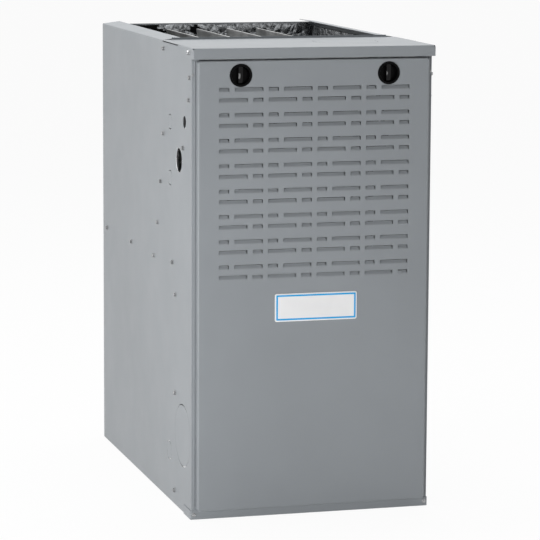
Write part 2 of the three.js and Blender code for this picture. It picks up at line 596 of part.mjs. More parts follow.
function door() {
  const outline = (inset) => roundedRectangle(DOOR_LEFT + inset, DOOR_RIGHT - inset,
    DOOR_BOTTOM + inset, DOOR_TOP - inset, DOOR_CORNER - inset);
  const louvers = louverPlaces();
  const through = [-DOOR_PROUD - 1, -DOOR_PROUD + DOOR_SHEET + 1];
  const holes = louvers.map(({ x, z, width }) => box([x, x + width], through, [z, z + LOUVER.height]));
  const cupHoles = [LATCH_LEFT, LATCH_RIGHT].map((x) => rod("y", [x, LATCH_Z], LATCH.cup + CLEAR, ...through));
  const pan = cut(
    prism("y", outline(0), -DOOR_PROUD, -CLEAR),
    prism("y", outline(DOOR_SHEET), -DOOR_PROUD + DOOR_SHEET, 1),
    ...holes,
    ...cupHoles,
  );
  const hooks = hookPlaces().flatMap((x) => [
    box([x - HOOK.width / 2, x + HOOK.width / 2], [-3 * DOOR_SHEET, HOOK.reach],
      [DOOR_BOTTOM + SEAT, DOOR_BOTTOM + SEAT + DOOR_SHEET]),
    box([x - HOOK.width / 2 + 1, x + HOOK.width / 2 - 1], [HOOK.nibFront, HOOK.nibBack],
      [DOOR_BOTTOM - HOOK.drop, DOOR_BOTTOM + DOOR_SHEET / 2 + SEAT]),
  ]);
  const [strikerX, strikerZ] = STRIKER_AT;
  const striker = box([strikerX - STRIKER.half, strikerX + STRIKER.half],
    [-DOOR_PROUD + DOOR_SHEET / 2, -DOOR_SWITCH.tip - CLEAR],
    [strikerZ - STRIKER.half, strikerZ + STRIKER.half]);
  return join(pan, striker, ...hooks, ...louvers.map(louverBlade));
}

function doorInsulation() {
  const back = -DOOR_PROUD + DOOR_SHEET + CLEAR;
  return box([DOOR_LEFT + PAD.inset, DOOR_RIGHT - PAD.inset], [back, back + PAD.thick],
    [DOOR_BOTTOM + PAD.aboveRail, DECK_Z - PAD.belowDeck]);
}

function nameplate() {
  const { offCentre, belowLouvers, width, height, corner, thick } = NAMEPLATE;
  const back = -DOOR_PROUD - CLEAR;
  const left = (CASING_WIDTH - width) / 2 + offCentre;
  const top = LOUVER_BOTTOM - belowLouvers;
  return prism("y", roundedRectangle(left, left + width, top - height, top, corner), back - thick, back);
}

const GRIP_FRONT = -DOOR_PROUD - LATCH.bezelProud + CLEAR;
const CUP_FLOOR = -LATCH.cupBack - LATCH.cupWall;

function latchCup(x) {
  const { bezel, bezelProud, bezelEdge, cup, cupWall, cupBack, shaft } = LATCH;
  const back = -DOOR_PROUD - CLEAR;
  const front = back - bezelProud;
  const inner = cup - cupWall;
  return turned(x, 0, LATCH_Z, [
    [bezel, front + bezelEdge], [bezel, back], [cup, back], [cup, -cupBack],
    [shaft + CLEAR, -cupBack], [shaft + CLEAR, CUP_FLOOR], [inner, CUP_FLOOR], [inner, front],
    [bezel - bezelEdge, front],
  ], 24);
}

function latchGrip(x) {
  const { grip, disc, cup, cupWall, shaft, camBehind, camThick, nut } = LATCH;
  const centre = [x, LATCH_Z];
  const radius = cup - cupWall - CLEAR;
  const back = CUP_FLOOR - CLEAR;
  const bar = box([x - grip / 2, x + grip / 2], [GRIP_FRONT, back - disc / 3],
    [LATCH_Z - radius, LATCH_Z + radius]);
  return join(
    rod("y", centre, radius, back - disc, back, 20),
    bar.intersect(rod("y", centre, radius - CLEAR, GRIP_FRONT - 1, back, 20)),
    rod("y", centre, shaft, back - disc / 2, camBehind + camThick + nut, 16),
  );
}

function latchCam(x, side) {
  const { camReach, camHalf, camThick, camBehind, hub, shaft } = LATCH;
  const width = side > 0 ? [x, x + camReach] : [x - camReach, x];
  const depth = [camBehind, camBehind + camThick];
  const arm = box(width, depth, [LATCH_Z - camHalf, LATCH_Z + camHalf]);
  const centre = [x, LATCH_Z];
  return cut(join(arm, rod("y", centre, hub, ...depth, 16)),
    rod("y", centre, shaft + CLEAR, camBehind - 1, camBehind + camThick + 1, 16));
}

// ---- heat exchanger ----

function cellPlaces() {
  return Array.from({ length: CELL.count }, (_, i) => FIRST_CELL + i * CELL.pitch);
}

// The middle line of a cell's passage in (y, z): four passes joined by three half turns.
function cellLine(overrun) {
  const radius = PASS_PITCH / 2;
  const turnSteps = 4;
  const points = [[CELL_INLET_Y - overrun, INLET_Z]];
  for (let turn = 0; turn < 3; turn++) {
    const rear = turn % 2 === 0;
    const y = rear ? CELL_REAR - CELL.turnInset : CELL_FRONT_TURN;
    const z = INLET_Z + turn * PASS_PITCH + radius;
    for (let i = 0; i <= turnSteps; i++) {
      const angle = -Math.PI / 2 + (Math.PI * i) / turnSteps;
      points.push([y + (rear ? 1 : -1) * radius * Math.cos(angle), z + radius * Math.sin(angle)]);
    }
  }
  points.push([CELL_OUTLET_Y - overrun, OUTLET_Z]);
  return points;
}

// A band either side of that line, tapering from the inlet to the outlet.
function cellBand(inset, overrun) {
  const line = cellLine(overrun);
  const left = [];
  const right = [];
  line.forEach(([y, z], i) => {
    const [y0, z0] = line[Math.max(0, i - 1)];
    const [y1, z1] = line[Math.min(line.length - 1, i + 1)];
    const length = Math.hypot(y1 - y0, z1 - z0);
    const share = i / (line.length - 1);
    const half = CELL.inletHalf + (CELL.outletHalf - CELL.inletHalf) * share - inset;
    const ends = i === 0 || i === line.length - 1;
    const [ty, tz] = ends ? [Math.sign(y1 - y0), 0] : [(y1 - y0) / length, (z1 - z0) / length];
    left.push([y - tz * half, z + ty * half]);
    right.push([y + tz * half, z - ty * half]);
  });
  return [...left, ...right.reverse()];
}

function heatExchangerCell(x) {
  const half = CELL.thick / 2;
  const shell = prism("x", cellBand(0, 0), x - half, x + half, [], CELL.bevel);
  const hollow = prism("x", cellBand(CELL.wall, 2 * CELL.bevel), x - half + CELL.wall, x + half - CELL.wall,
    [], CELL.bevel);
  const front = CELL.seamSetback;
  const top = CASING_HEIGHT - CELL.belowTop;
  const bottom = INLET_Z - CELL.belowInlet;
  const seam = prism("x", [
    [VESTIBULE_Y + front, top],
    [VESTIBULE_Y + front, VESTIBULE_BEND],
    [vestibuleFront(bottom) + front, bottom],
    [CELL_REAR, bottom],
    [CELL_REAR, top],
  ], x - CELL.seam / 2, x + CELL.seam / 2);
  return cut(join(shell, seam), hollow);
}

// ---- burner compartment ----

function collectorBox() {
  const left = FIRST_CELL - COLLECTOR.overhang;
  const right = LAST_CELL + COLLECTOR.overhang;
  const bottom = OUTLET_Z - COLLECTOR.below;
  const top = OUTLET_Z + COLLECTOR.above;
  const pan = box([left, right], [COLLECTOR_FRONT, VESTIBULE_BACK], [bottom, top]);
  const inside = box([left + PLATE, right - PLATE], [COLLECTOR_FRONT + PLATE, VESTIBULE_BACK + 1],
    [bottom + PLATE, top - PLATE]);
  const eye = rod("y", INDUCER_AT, INDUCER.eye, COLLECTOR_FRONT - 1, COLLECTOR_FRONT + 2 * PLATE);
  return cut(pan, inside, eye);
}

function inducerScroll(wall, top) {
  const [a, b] = INDUCER_AT;
  const { small, large, endDeg } = INDUCER;
  return scroll({ a, b, small, large, endDeg, top, wall }, 20);
}

function inducerHousing() {
  const { wall, eye, shaft, large } = INDUCER;
  const reach = VENT.collar + VENT.flange;
  const plate = box([VENT_X - reach, VENT_X + reach], [VENT.y - reach, INDUCER_BACK],
    [INDUCER_TOP - wall, INDUCER_TOP]);
  const [tapX, tapY, tapZ] = hoseTap();
  const nipple = rod("x", [tapY, tapZ], PRESSURE_SWITCH.nipple, INDUCER_AT[0] + large - wall / 2, tapX - CLEAR, 8);
  const shell = join(prism("y", inducerScroll(0, INDUCER_TOP), INDUCER_FRONT, INDUCER_BACK), plate, nipple);
  const hollow = prism("y", inducerScroll(wall, INDUCER_TOP + 1), INDUCER_FRONT + wall, INDUCER_BACK - wall);
  return cut(shell, hollow,
    rod("y", INDUCER_AT, eye, INDUCER_BACK - 2 * wall, INDUCER_BACK + 1),
    rod("y", INDUCER_AT, shaft + 1, INDUCER_FRONT - 1, INDUCER_FRONT + 2 * wall, 12));
}

function inducerWheel() {
  const { wheel, blades, vaneThick, vaneTurn, shaft, hub, hubLength } = INDUCER;
  const plate = 2;
  const rim = 8;
  const [x, z] = INDUCER_AT;
  const vanes = Array.from({ length: blades }, (_, i) => {
    const geometry = new THREE.BoxGeometry(0.45 * wheel, WHEEL_BACK - WHEEL_FRONT - plate, vaneThick);
    geometry.rotateY(vaneTurn);
    geometry.translate(0.72 * wheel, 0, 0);
    geometry.rotateY((-i * 2 * Math.PI) / blades);
    geometry.translate(x, (WHEEL_FRONT + WHEEL_BACK) / 2, z);
    return toSolid(geometry);
  });
  const body = join(
    rod("y", INDUCER_AT, wheel, WHEEL_FRONT, WHEEL_FRONT + plate, 28),
    ring("y", INDUCER_AT, wheel, wheel - rim, WHEEL_BACK - plate, WHEEL_BACK, 28),
    rod("y", INDUCER_AT, hub, WHEEL_FRONT, WHEEL_FRONT + hubLength, 16),
    ...vanes,
  );
  return cut(body, rod("y", INDUCER_AT, shaft + CLEAR, WHEEL_FRONT - 1, WHEEL_FRONT + hubLength + 1, 12));
}

function inducerShaft() {
  const { shaft, shaftInMotor, hubLength } = INDUCER;
  return rod("y", INDUCER_AT, shaft, MOTOR_BACK - shaftInMotor, WHEEL_FRONT + hubLength - 1, 12);
}

function inducerMotor() {
  const { motor, motorLength, motorRim, standoff, shaft, shaftInMotor } = INDUCER;
  const [x, z] = INDUCER_AT;
  const front = MOTOR_BACK - motorLength;
  const flange = 4;
  const legs = [90, 210, 330].map((deg) => {
    const angle = (deg * Math.PI) / 180;
    const place = [x + (motor + 2) * Math.cos(angle), z + (motor + 2) * Math.sin(angle)];
    return rod("y", place, standoff, MOTOR_BACK - flange / 2, INDUCER_FRONT - CLEAR, 8);
  });
  const body = join(
    rod("y", INDUCER_AT, motor, front + 6, MOTOR_BACK - flange, 24),
    rod("y", INDUCER_AT, motor - motorRim, front, front + 8, 24),
    rod("y", INDUCER_AT, motor + motorRim, MOTOR_BACK - flange, MOTOR_BACK, 24),
    ...legs,
  );
  return cut(body, rod("y", INDUCER_AT, shaft + CLEAR, MOTOR_BACK - shaftInMotor - 2, MOTOR_BACK + 1, 12));
}

function ventCollar() {
  const bottom = INDUCER_TOP + CLEAR;
  const { collar, wall, flange, y } = VENT;
  const inner = collar - wall;
  return join(
    ring("z", [VENT_X, y], collar + flange - 1, inner + wall / 2, bottom, bottom + wall, 20),
    ring("z", [VENT_X, y], collar, inner, bottom + wall / 3, COVER_UNDERSIDE - CLEAR, 20),
  );
}

function burner(x) {
  const { mouth, throat, head, wall, length } = BURNER;
  const outside = [
    [mouth, 0], [throat, 0.22 * length], [throat, 0.36 * length], [head, 0.72 * length], [head, length],
  ];
  const inside = outside.map(([r, h]) => [r - wall, h]).reverse();
  return turned(x, BURNER_MOUTH_Y, INLET_Z, [...outside, ...inside], 12);
}

// Where the bracket's end tabs meet the sloping part of the vestibule panel.
function tabBack() {
  return vestibuleFront(INLET_Z + BURNER_BRACKET.tabHalf) - CLEAR;
}

function burnerBracket() {
  const { below, above, tabHalf } = BURNER_BRACKET;
  const y = BURNER_BRACKET_Y;
  const [left, right] = bracketEnds();
  const reach = [INLET_Z - tabHalf, INLET_Z + tabHalf];
  const bracket = join(
    box([left, right], [y, y + PLATE], [INLET_Z - below, INLET_Z + above]),
    box([left, left + PLATE], [y, tabBack()], reach),
    box([right - PLATE, right], [y, tabBack()], reach),
  );
  const holes = cellPlaces().map((x) => rod("y", [x, INLET_Z], BURNER.throat + CLEAR, y - 1, y + 2 * PLATE, 14));
  const probes = rod("x", [PROBE_Y, INLET_Z], PROBE.hole, left - 1, right + 1, 10);
  return cut(bracket, ...holes, probes);
}

function bracketEnds() {
  return [FIRST_CELL - BURNER_BRACKET.overhang, LAST_CELL + BURNER_BRACKET.overhang];
}

function gasManifold() {
  const { radius, spud, spudGap, overrun } = MANIFOLD;
  const { along, half, fromCell } = MANIFOLD_STRAP;
  const spuds = cellPlaces().map((x) => rod("y", [x, INLET_Z], spud, MANIFOLD_Y, BURNER_MOUTH_Y - spudGap, 10));
  const straps = [FIRST_CELL + fromCell, LAST_CELL - fromCell].map((x) => box(
    [x - along / 2, x + along / 2],
    [MANIFOLD_Y, BURNER_BRACKET_Y - CLEAR],
    [INLET_Z - half, INLET_Z + half],
  ));
  return join(
    rod("x", [MANIFOLD_Y, INLET_Z], radius, GAS_VALVE.x - radius, LAST_CELL + overrun, 16),
    rod("z", [GAS_VALVE.x, MANIFOLD_Y], radius, INLET_Z, GAS_Z - GAS_VALVE.halfHeight - CLEAR, 16),
    ...spuds,
    ...straps,
  );
}

function gasValve() {
  const { x, half, ahead, behind, halfHeight, step, boss, bossReach, solenoid } = GAS_VALVE;
  const [left, right] = [x - half, x + half];
  const [front, back] = [MANIFOLD_Y - ahead, MANIFOLD_Y + behind];
  const [bottom, top] = [GAS_Z - halfHeight, GAS_Z + halfHeight];
  const body = join(
    box([left, right], [front + step, back], [bottom + step, top - step]),
    box([left + step, right - step], [front, back - step], [bottom + 2 * step, top]),
    rod("x", [GAS_Y, GAS_Z], boss, left - bossReach, left + step / 2, 16),
    rod("z", [x, MANIFOLD_Y], boss, bottom, bottom + 1.25 * step, 16),
    rod("y", [right - 2.75 * step, GAS_Z], solenoid, front - 2 * step, front + step, 16),
  );
  const inlet = rod("x", [GAS_Y, GAS_Z], 0.65 * boss, left - bossReach - 1, left + step, 12);
  const stem = rod("z", [x, KNOB_Y], VALVE_KNOB.stem + CLEAR, top - VALVE_KNOB.stemDepth - 1, top + 1, 12);
  return cut(body, inlet, stem);
}

function gasValveKnob() {
  const { radius, height, stem, stemDepth, barHalf } = VALVE_KNOB;
  const { x } = GAS_VALVE;
  const top = GAS_Z + GAS_VALVE.halfHeight;
  const base = top + CLEAR;
  return join(
    rod("z", [x, KNOB_Y], radius, base, base + 0.6 * height, 20),
    box([x - barHalf, x + barHalf], [KNOB_Y - radius + 1, KNOB_Y + radius - 1], [base + height / 6, base + height]),
    rod("z", [x, KNOB_Y], stem, top - stemDepth, base + 1, 12),
  );
}

// A ceramic block on the outside of one end tab, with its rod reaching in over a burner's head.
function flameProbe(mirrored, rodIn) {
  const [left, right] = bracketEnds();
  const side = mirrored ? right + CLEAR : left - CLEAR;
  const out = mirrored ? 1 : -1;
  const block = [side, side + out * PROBE.reach].sort((a, b) => a - b);
  const reach = [side + out, side - out * rodIn.reach].sort((a, b) => a - b);
  return join(
    box(block, [PROBE_Y - PROBE.halfY, PROBE_Y + PROBE.halfY], [INLET_Z - PROBE.halfZ, INLET_Z + PROBE.halfZ]),
    rod("x", [PROBE_Y, INLET_Z], rodIn.radius, ...reach, 8),
  );
}

const ROLLOUT_AT = [(FIRST_CELL + LAST_CELL) / 2, INLET_Z + ROLLOUT.above];
const ROLLOUT_BACK = BURNER_BRACKET_Y - CLEAR;
const ROLLOUT_FRONT = ROLLOUT_BACK - ROLLOUT.depth;

function rolloutSwitch() {
  const { radius, tab, button, buttonProud, travel } = ROLLOUT;
  const [x, z] = ROLLOUT_AT;
  const body = join(
    rod("y", ROLLOUT_AT, radius, ROLLOUT_FRONT, ROLLOUT_BACK, 16),
    box([x - tab, x + tab], [ROLLOUT_BACK - PLATE, ROLLOUT_BACK], [z - radius / 2, z + radius / 2]),
  );
  const bore = rod("y", ROLLOUT_AT, button + CLEAR, ROLLOUT_FRONT - 1,
    ROLLOUT_FRONT + buttonProud + travel + CLEAR, 12);
  return cut(body, bore);
}

function rolloutResetButton() {
  const { button, buttonProud } = ROLLOUT;
  return rod("y", ROLLOUT_AT, button, ROLLOUT_FRONT - buttonProud, ROLLOUT_FRONT + buttonProud, 12);
}

function limitPlace() {
  return [LAST_CELL + LIMIT.besideCells, CASING_HEIGHT - LIMIT.belowTop];
}

function limitSwitch() {
  const { flange, flangeHalf, thick, body, probe, probeReach } = LIMIT;
  const [x, z] = limitPlace();
  const back = VESTIBULE_BACK;
  return join(
    box([x - flange, x + flange], [back - thick, back], [z - flangeHalf, z + flangeHalf]),
    rod("y", [x, z], probe + 1.5, back - body, back - thick / 2, 16),
    rod("y", [x, z], probe, back - thick / 2, back + probeReach, 12),
  );
}

function pressurePlace() {
  return [CASING_WIDTH - PRESSURE_SWITCH.fromRight, CASING_HEIGHT - PRESSURE_SWITCH.belowTop];
}

function pressureSwitch() {
  const { radius, rim, front, thick, footHalf, nipple, nippleLength } = PRESSURE_SWITCH;
  const [x, z] = pressurePlace();
  return join(
    rod("y", [x, z], radius, front + rim, front + thick - rim, 24),
    rod("y", [x, z], radius - rim, front, front + thick, 24),
    rod("y", [x, z], nipple, front - nippleLength, front + 2, 8),
    box([x - footHalf, x + footHalf], [front + thick - 1, VESTIBULE_BACK], [z - footHalf, z + footHalf]),
  );
}

function hoseTap() {
  return [
    INDUCER_AT[0] + INDUCER.large + HOSE_TAP.reach,
    INDUCER_FRONT + INDUCER.depth / 2,
    INDUCER_AT[1] + HOSE_TAP.above,
  ];
}

function pressureHose() {
  const [tapX, tapY, tapZ] = hoseTap();
  const [x, z] = pressurePlace();
  const end = PRESSURE_SWITCH.front - PRESSURE_SWITCH.nippleLength - CLEAR;
  return hose([
    [x, end, z], [x, end - 8, z], [x + 2, end - 24, z + 8], [x + 4, end - 30, z + 36],
    [x - 2, end - 20, z + 80], [x - 12, (end + tapY) / 2, tapZ - 4], [tapX + 9, tapY, tapZ], [tapX, tapY, tapZ],
  ], HOSE_RADIUS, 16);
}

function junctionBox() {
  const { reach, ahead, behind, halfHeight } = JUNCTION_BOX;
  const [front, back] = [WIRE_HOLE.y - ahead, WIRE_HOLE.y + behind];
  const [bottom, top] = [WIRE_Z - halfHeight, WIRE_Z + halfHeight];
  const outer = box([INSIDE, INSIDE + reach], [front, back], [bottom, top]);
  const inner = box([INSIDE + PLATE, INSIDE + reach - PLATE], [front + PLATE, back - PLATE],
    [bottom + PLATE, top - PLATE]);
  return cut(outer, inner, rod("x", [WIRE_HOLE.y, WIRE_Z], WIRE_HOLE.radius, 0, INSIDE + 2 * PLATE, 20));
}

// ---- controls in the blower compartment ----

function controlBracket() {
  const top = DECK_Z - CLEAR;
  const { y, left, width, flange } = BRACKET;
  return prism("x", [
    [y, BRACKET_BOTTOM], [y + PLATE, BRACKET_BOTTOM], [y + PLATE, top - PLATE],
    [y + flange, top - PLATE], [y + flange, top], [y, top],
  ], left, left + width);
}

function controlBoard() {
  const { width, height, thick } = BOARD;
  const left = BRACKET.left + BOARD.left;
  const bottom = BRACKET_BOTTOM + BOARD.above;
  const front = BOARD_BACK - thick;
  const part = (a, b, partWidth, partHeight, depth) => box(
    [left + a, left + a + partWidth], [front - depth, front + thick / 4], [bottom + b, bottom + b + partHeight],
  );
  const row = ({ count, left: first, pitch, width: each, height: tall, depth }, above) => (
    Array.from({ length: count }, (_, i) => part(first + i * pitch, above, each, tall, depth)));
  const { inset, radius } = BOARD_FOOT;
  const feet = [left + inset, left + width - inset].flatMap((x) => [bottom + inset, bottom + height - inset]
    .map((z) => rod("y", [x, z], radius, BOARD_BACK - thick / 4, BRACKET_FACE, 8)));
  return join(
    box([left, left + width], [front, BOARD_BACK], [bottom, bottom + height]),
    ...row(RELAY, RELAY.above),
    ...row(TERMINAL, height - TERMINAL.below),
    ...feet,
    part(PROCESSOR.left, PROCESSOR.above, PROCESSOR.side, PROCESSOR.side, PROCESSOR.depth),
    part(SOCKET.left, SOCKET.above, SOCKET.width, SOCKET.height, SOCKET.depth),
    part(HARNESS_PLUG - PLUG.half, height - PLUG.below, 2 * PLUG.half, PLUG.height, PLUG.depth),
    part(FUSES.left, FUSES.above, FUSES.width, FUSES.height, FUSES.depth),
  );
}

function transformer() {
  const { width, height, depth } = TRANSFORMER;
  const left = BRACKET.left + TRANSFORMER.left;
  const bottom = BRACKET_BOTTOM + TRANSFORMER.above;
  const [right, top] = [left + width, bottom + height];
  const middle = (left + right) / 2;
  const coil = 11;
  return join(
    box([left, right], [BRACKET_FACE - 2, BRACKET_FACE], [bottom, top]),
    box([left + 8, right - 8], [BRACKET_FACE - depth, BRACKET_FACE - 1], [bottom + 10, top - 10]),
    box([middle - coil, middle + coil], [BRACKET_FACE - depth + 6, BRACKET_FACE - 6], [bottom + 2, top - 2]),
  );
}

function runCapacitor() {
  const { left, above, height, radius } = CAPACITOR;
  const x = BRACKET.left + left;
  const bottom = BRACKET_BOTTOM + above;
  const top = bottom + height;
  const middle = (bottom + top) / 2;
  const y = BRACKET_FACE - radius - PLATE;
  const strap = { half: 6, thick: 2 };
  const post = { radius: 3, apart: 7, height: 9 };
  return join(
    rod("z", [x, y], radius, bottom, top, 24),
    box([x - radius - PLATE, x + radius + PLATE], [y - strap.thick, BRACKET_FACE],
      [middle - strap.half, middle + strap.half]),
    rod("z", [x - post.apart, y], post.radius, top - 1, top + post.height, 8),
    rod("z", [x + post.apart, y], post.radius, top - 1, top + post.height, 8),
  );
}

function doorSwitchBody() {
  const [x, z] = STRIKER_AT;
  const { half, depth, floor, plunger } = DOOR_SWITCH;
  const body = box([x - half, x + half], [SWITCH_FRONT, SWITCH_FRONT + depth], [z - half, z + half]);
  return cut(body, rod("y", STRIKER_AT, plunger + CLEAR, SWITCH_FRONT - 1, SWITCH_FRONT + depth - floor, 12));
}

function doorSwitchPlunger() {
  const { depth, floor, plunger, travel, tip } = DOOR_SWITCH;
  return rod("y", STRIKER_AT, plunger, -tip, SWITCH_FRONT + depth - floor - travel - 1, 12);
}

function wiringHarness() {
  const [holeX, holeY] = [CASING_WIDTH - HARNESS_HOLE.fromRight, HARNESS_HOLE.y];
  const plugX = BRACKET.left + BOARD.left + HARNESS_PLUG;
  const plugY = BOARD_BACK - BOARD.thick - 6;
  const plugZ = BRACKET_BOTTOM + BOARD.above + BOARD.height - 4 + CLEAR;
  const [x, z] = pressurePlace();
  const y = PRESSURE_SWITCH.front + PRESSURE_SWITCH.thick / 2;
  const foot = z - PRESSURE_SWITCH.radius - CLEAR;
  return hose([
    [plugX, plugY, plugZ], [plugX, plugY, plugZ + 12], [plugX + 20, plugY - 8, plugZ + 34],
    [(plugX + holeX) / 2, holeY + 4, plugZ + 42], [holeX - 26, holeY, plugZ + 42],
    [holeX, holeY, DECK_Z - 6], [holeX, holeY, DECK_Z + 24], [holeX + 8, holeY + 20, DECK_Z + 90],
    [x - 8, y - 30, foot - 50], [x, y, foot - 14], [x, y, foot],
  ], HARNESS_RADIUS, 26);
}

// ---- blower ----

function blowerScroll(wall, top) {
  const { small, large, endDeg } = BLOWER;
  return scroll({ a: BLOWER_Y, b: BLOWER_Z, small, large, endDeg, top, wall }, 22);
}

function blowerHousing() {
  const { wall, eye, flange } = BLOWER;
  const [outletFront, outletBack] = blowerOutlet();
  const flanges = [[BLOWER_LEFT - flange, BLOWER_LEFT + wall], [BLOWER_RIGHT - wall, BLOWER_RIGHT + flange]]
    .map((width) => box(width, [outletFront, outletBack], [BLOWER_FLANGE_Z, BLOWER_FLANGE_Z + PLATE]));
  const shell = join(prism("x", blowerScroll(0, DECK_Z - CLEAR), BLOWER_LEFT, BLOWER_RIGHT), ...flanges);
  const hollow = prism("x", blowerScroll(wall, DECK_Z + 1), BLOWER_LEFT + wall, BLOWER_RIGHT - wall);
  const eyes = rod("x", BLOWER_AXIS, eye, BLOWER_LEFT - 1, BLOWER_RIGHT + 1, 32);
  return cut(shell, hollow, eyes);
}

// A rail under the deck; the housing's flange slides on its lip.
function blowerRail(mirrored) {
  const { flange, railLip, railWeb, railOverrun } = BLOWER;
  const edge = mirrored ? BLOWER_RIGHT + flange : BLOWER_LEFT - flange;
  const place = (x) => (mirrored ? edge + x : edge - x);
  const top = DECK_Z - CLEAR;
  const lip = BLOWER_FLANGE_Z - CLEAR;
  const [front, back] = blowerOutlet();
  return prism("y", [
    [place(-railLip), lip - PLATE], [place(railWeb), lip - PLATE], [place(railWeb), top - PLATE],
    [place(railWeb + railLip), top - PLATE], [place(railWeb + railLip), top],
    [place(railWeb - PLATE), top], [place(railWeb - PLATE), lip], [place(-railLip), lip],
  ], front - railOverrun, back);
}

function blowerWheel() {
  const { wheel, wheelWidth, rim, bladeDepth, bladeThick, blades, bladeTurn, shaft, hub } = BLOWER;
  const left = BLOWER_MIDDLE - wheelWidth / 2;
  const right = BLOWER_MIDDLE + wheelWidth / 2;
  const inner = wheel - bladeDepth;
  const vanes = Array.from({ length: blades }, (_, i) => {
    const geometry = new THREE.BoxGeometry(wheelWidth - 1, bladeDepth, bladeThick);
    geometry.rotateX(bladeTurn);
    geometry.translate(0, wheel - bladeDepth / 2 - 3, 0);
    geometry.rotateX((i * 2 * Math.PI) / blades);
    geometry.translate(BLOWER_MIDDLE, BLOWER_Y, BLOWER_Z);
    return toSolid(geometry);
  });
  const body = join(
    ring("x", BLOWER_AXIS, wheel, inner, left, left + rim),
    ring("x", BLOWER_AXIS, wheel, inner, right - rim, right),
    rod("x", BLOWER_AXIS, wheel, BLOWER_MIDDLE - 1, BLOWER_MIDDLE + 1),
    rod("x", BLOWER_AXIS, shaft + hub, BLOWER_MIDDLE - 14, BLOWER_MIDDLE + 8, 16),
    ...vanes,
  );
  return cut(body, rod("x", BLOWER_AXIS, shaft + CLEAR, BLOWER_MIDDLE - 15, BLOWER_MIDDLE + 9, 16));
}

function blowerShaft() {
  return rod("x", BLOWER_AXIS, BLOWER.shaft, BLOWER_MIDDLE - 18, MOTOR_INNER + BLOWER.shaftInMotor, 16);
}

function blowerMotor() {
  const { motor, motorLength, shaft, shaftInMotor } = BLOWER;
  const end = MOTOR_INNER + motorLength;
  const cap = 10;
  const body = join(
    rod("x", BLOWER_AXIS, motor, MOTOR_INNER + cap, end - cap),
    rod("x", BLOWER_AXIS, motor - cap - 2, MOTOR_INNER, end),
    rod("x", BLOWER_AXIS, shaft + 8, MOTOR_INNER - 5, MOTOR_INNER + 2, 16),
  );
  return cut(body, rod("x", BLOWER_AXIS, shaft + CLEAR, MOTOR_INNER - 6, MOTOR_INNER + shaftInMotor + 2, 16));
}

// A band round the motor, with three arms out to the housing's side.
function motorMount() {
  const { motor, band, bandThick, arm, armThick, armReach, foot } = BLOWER;
  const inner = motor + CLEAR;
  const spoke = (x0, x1, from, to, width, deg) => {
    const geometry = new THREE.BoxGeometry(x1 - x0, to - from, width);
    geometry.translate((x0 + x1) / 2, (from + to) / 2, 0);
    geometry.rotateX((deg * Math.PI) / 180);
    geometry.translate(0, BLOWER_Y, BLOWER_Z);
    return toSolid(geometry);
  };
  const arms = [90, 210, 330].flatMap((deg) => [
    spoke(BLOWER_RIGHT + 3, BLOWER_RIGHT + 3 + armThick, inner + bandThick / 2, armReach - 1, arm, deg),
    spoke(BLOWER_RIGHT + CLEAR, BLOWER_RIGHT + 2 * armThick, armReach - foot, armReach, arm + 4, deg),
  ]);
  const clamp = ring("x", BLOWER_AXIS, inner + bandThick, inner, BLOWER_RIGHT + 1, BLOWER_RIGHT + 1 + band);
  return join(clamp, ...arms);
}

// ---- assembly ----

const cabinet = new THREE.Group();
cabinet.position.set(-CASING_WIDTH / 2, (COVER_PROUD - CASING_DEPTH) / 2, 0);

function piece(name, solid, material) {
  const { vertProperties, triVerts } = solid.getMesh();
  const geometry = new THREE.BufferGeometry();
  geometry.setAttribute("position", new THREE.BufferAttribute(vertProperties, 3));
  geometry.setIndex(new THREE.BufferAttribute(triVerts, 1));
  geometry.computeVertexNormals();
  const mesh = new THREE.Mesh(geometry, material());
  mesh.name = name;
  cabinet.add(mesh);
}

piece("casing_wrap", casingWrap(), casingPaint);
piece("top_front_cover", topFrontCover(), casingPaint);
piece("front_header", frontHeader(), galvanised);
piece("bottom_front_rail", bottomFrontRail(), doorPaint);
piece("vestibule_panel", vestibulePanel(), aluminised);
piece("blower_deck", blowerDeck(), galvanised);
piece("insulation_left", linerSide(false), foil);
piece("insulation_right", linerSide(true), foil);
piece("insulation_back", linerBack(), foil);
piece("side_stiffener_left", sideStiffener(false), galvanised);
piece("side_stiffener_right", sideStiffener(true), galvanised);

piece("door", door(), doorPaint);
piece("door_insulation_pad", doorInsulation(), foil);
piece("nameplate", nameplate(), whitePlastic);
for (const [side, x, inward] of [["left", LATCH_LEFT, 1], ["right", LATCH_RIGHT, -1]]) {
  piece(`latch_cup_${side}`, latchCup(x), blackPlastic);
  piece(`latch_grip_${side}`, latchGrip(x), blackPlastic);
  piece(`latch_cam_${side}`, latchCam(x, inward), brightSteel);
}

cellPlaces().forEach((x, i) => {
  piece(`heat_exchanger_cell_${i + 1}`, heatExchangerCell(x), aluminised);
  piece(`burner_${i + 1}`, burner(x), aluminised);
});
piece("collector_box", collectorBox(), aluminised);
piece("inducer_housing", inducerHousing(), darkMetal);
piece("inducer_wheel", inducerWheel(), galvanised);
piece("inducer_shaft", inducerShaft(), brightSteel);
piece("inducer_motor", inducerMotor(), darkMetal);
piece("vent_collar", ventCollar(), galvanised);
piece("burner_bracket", burnerBracket(), galvanised);
piece("gas_manifold", gasManifold(), darkMetal);
piece("gas_valve", gasValve(), castMetal);
piece("gas_valve_knob", gasValveKnob(), blackPlastic);
piece("igniter", flameProbe(true, IGNITER_ROD), ceramicWhite);
piece("flame_sensor", flameProbe(false, SENSOR_ROD), ceramicWhite);
piece("rollout_switch", rolloutSwitch(), brightSteel);
piece("rollout_reset_button", rolloutResetButton(), redPlastic);
piece("limit_switch", limitSwitch(), brightSteel);
piece("pressure_switch", pressureSwitch(), blackPlastic);
piece("pressure_hose", pressureHose(), rubberBlack);
piece("junction_box", junctionBox(), galvanised);

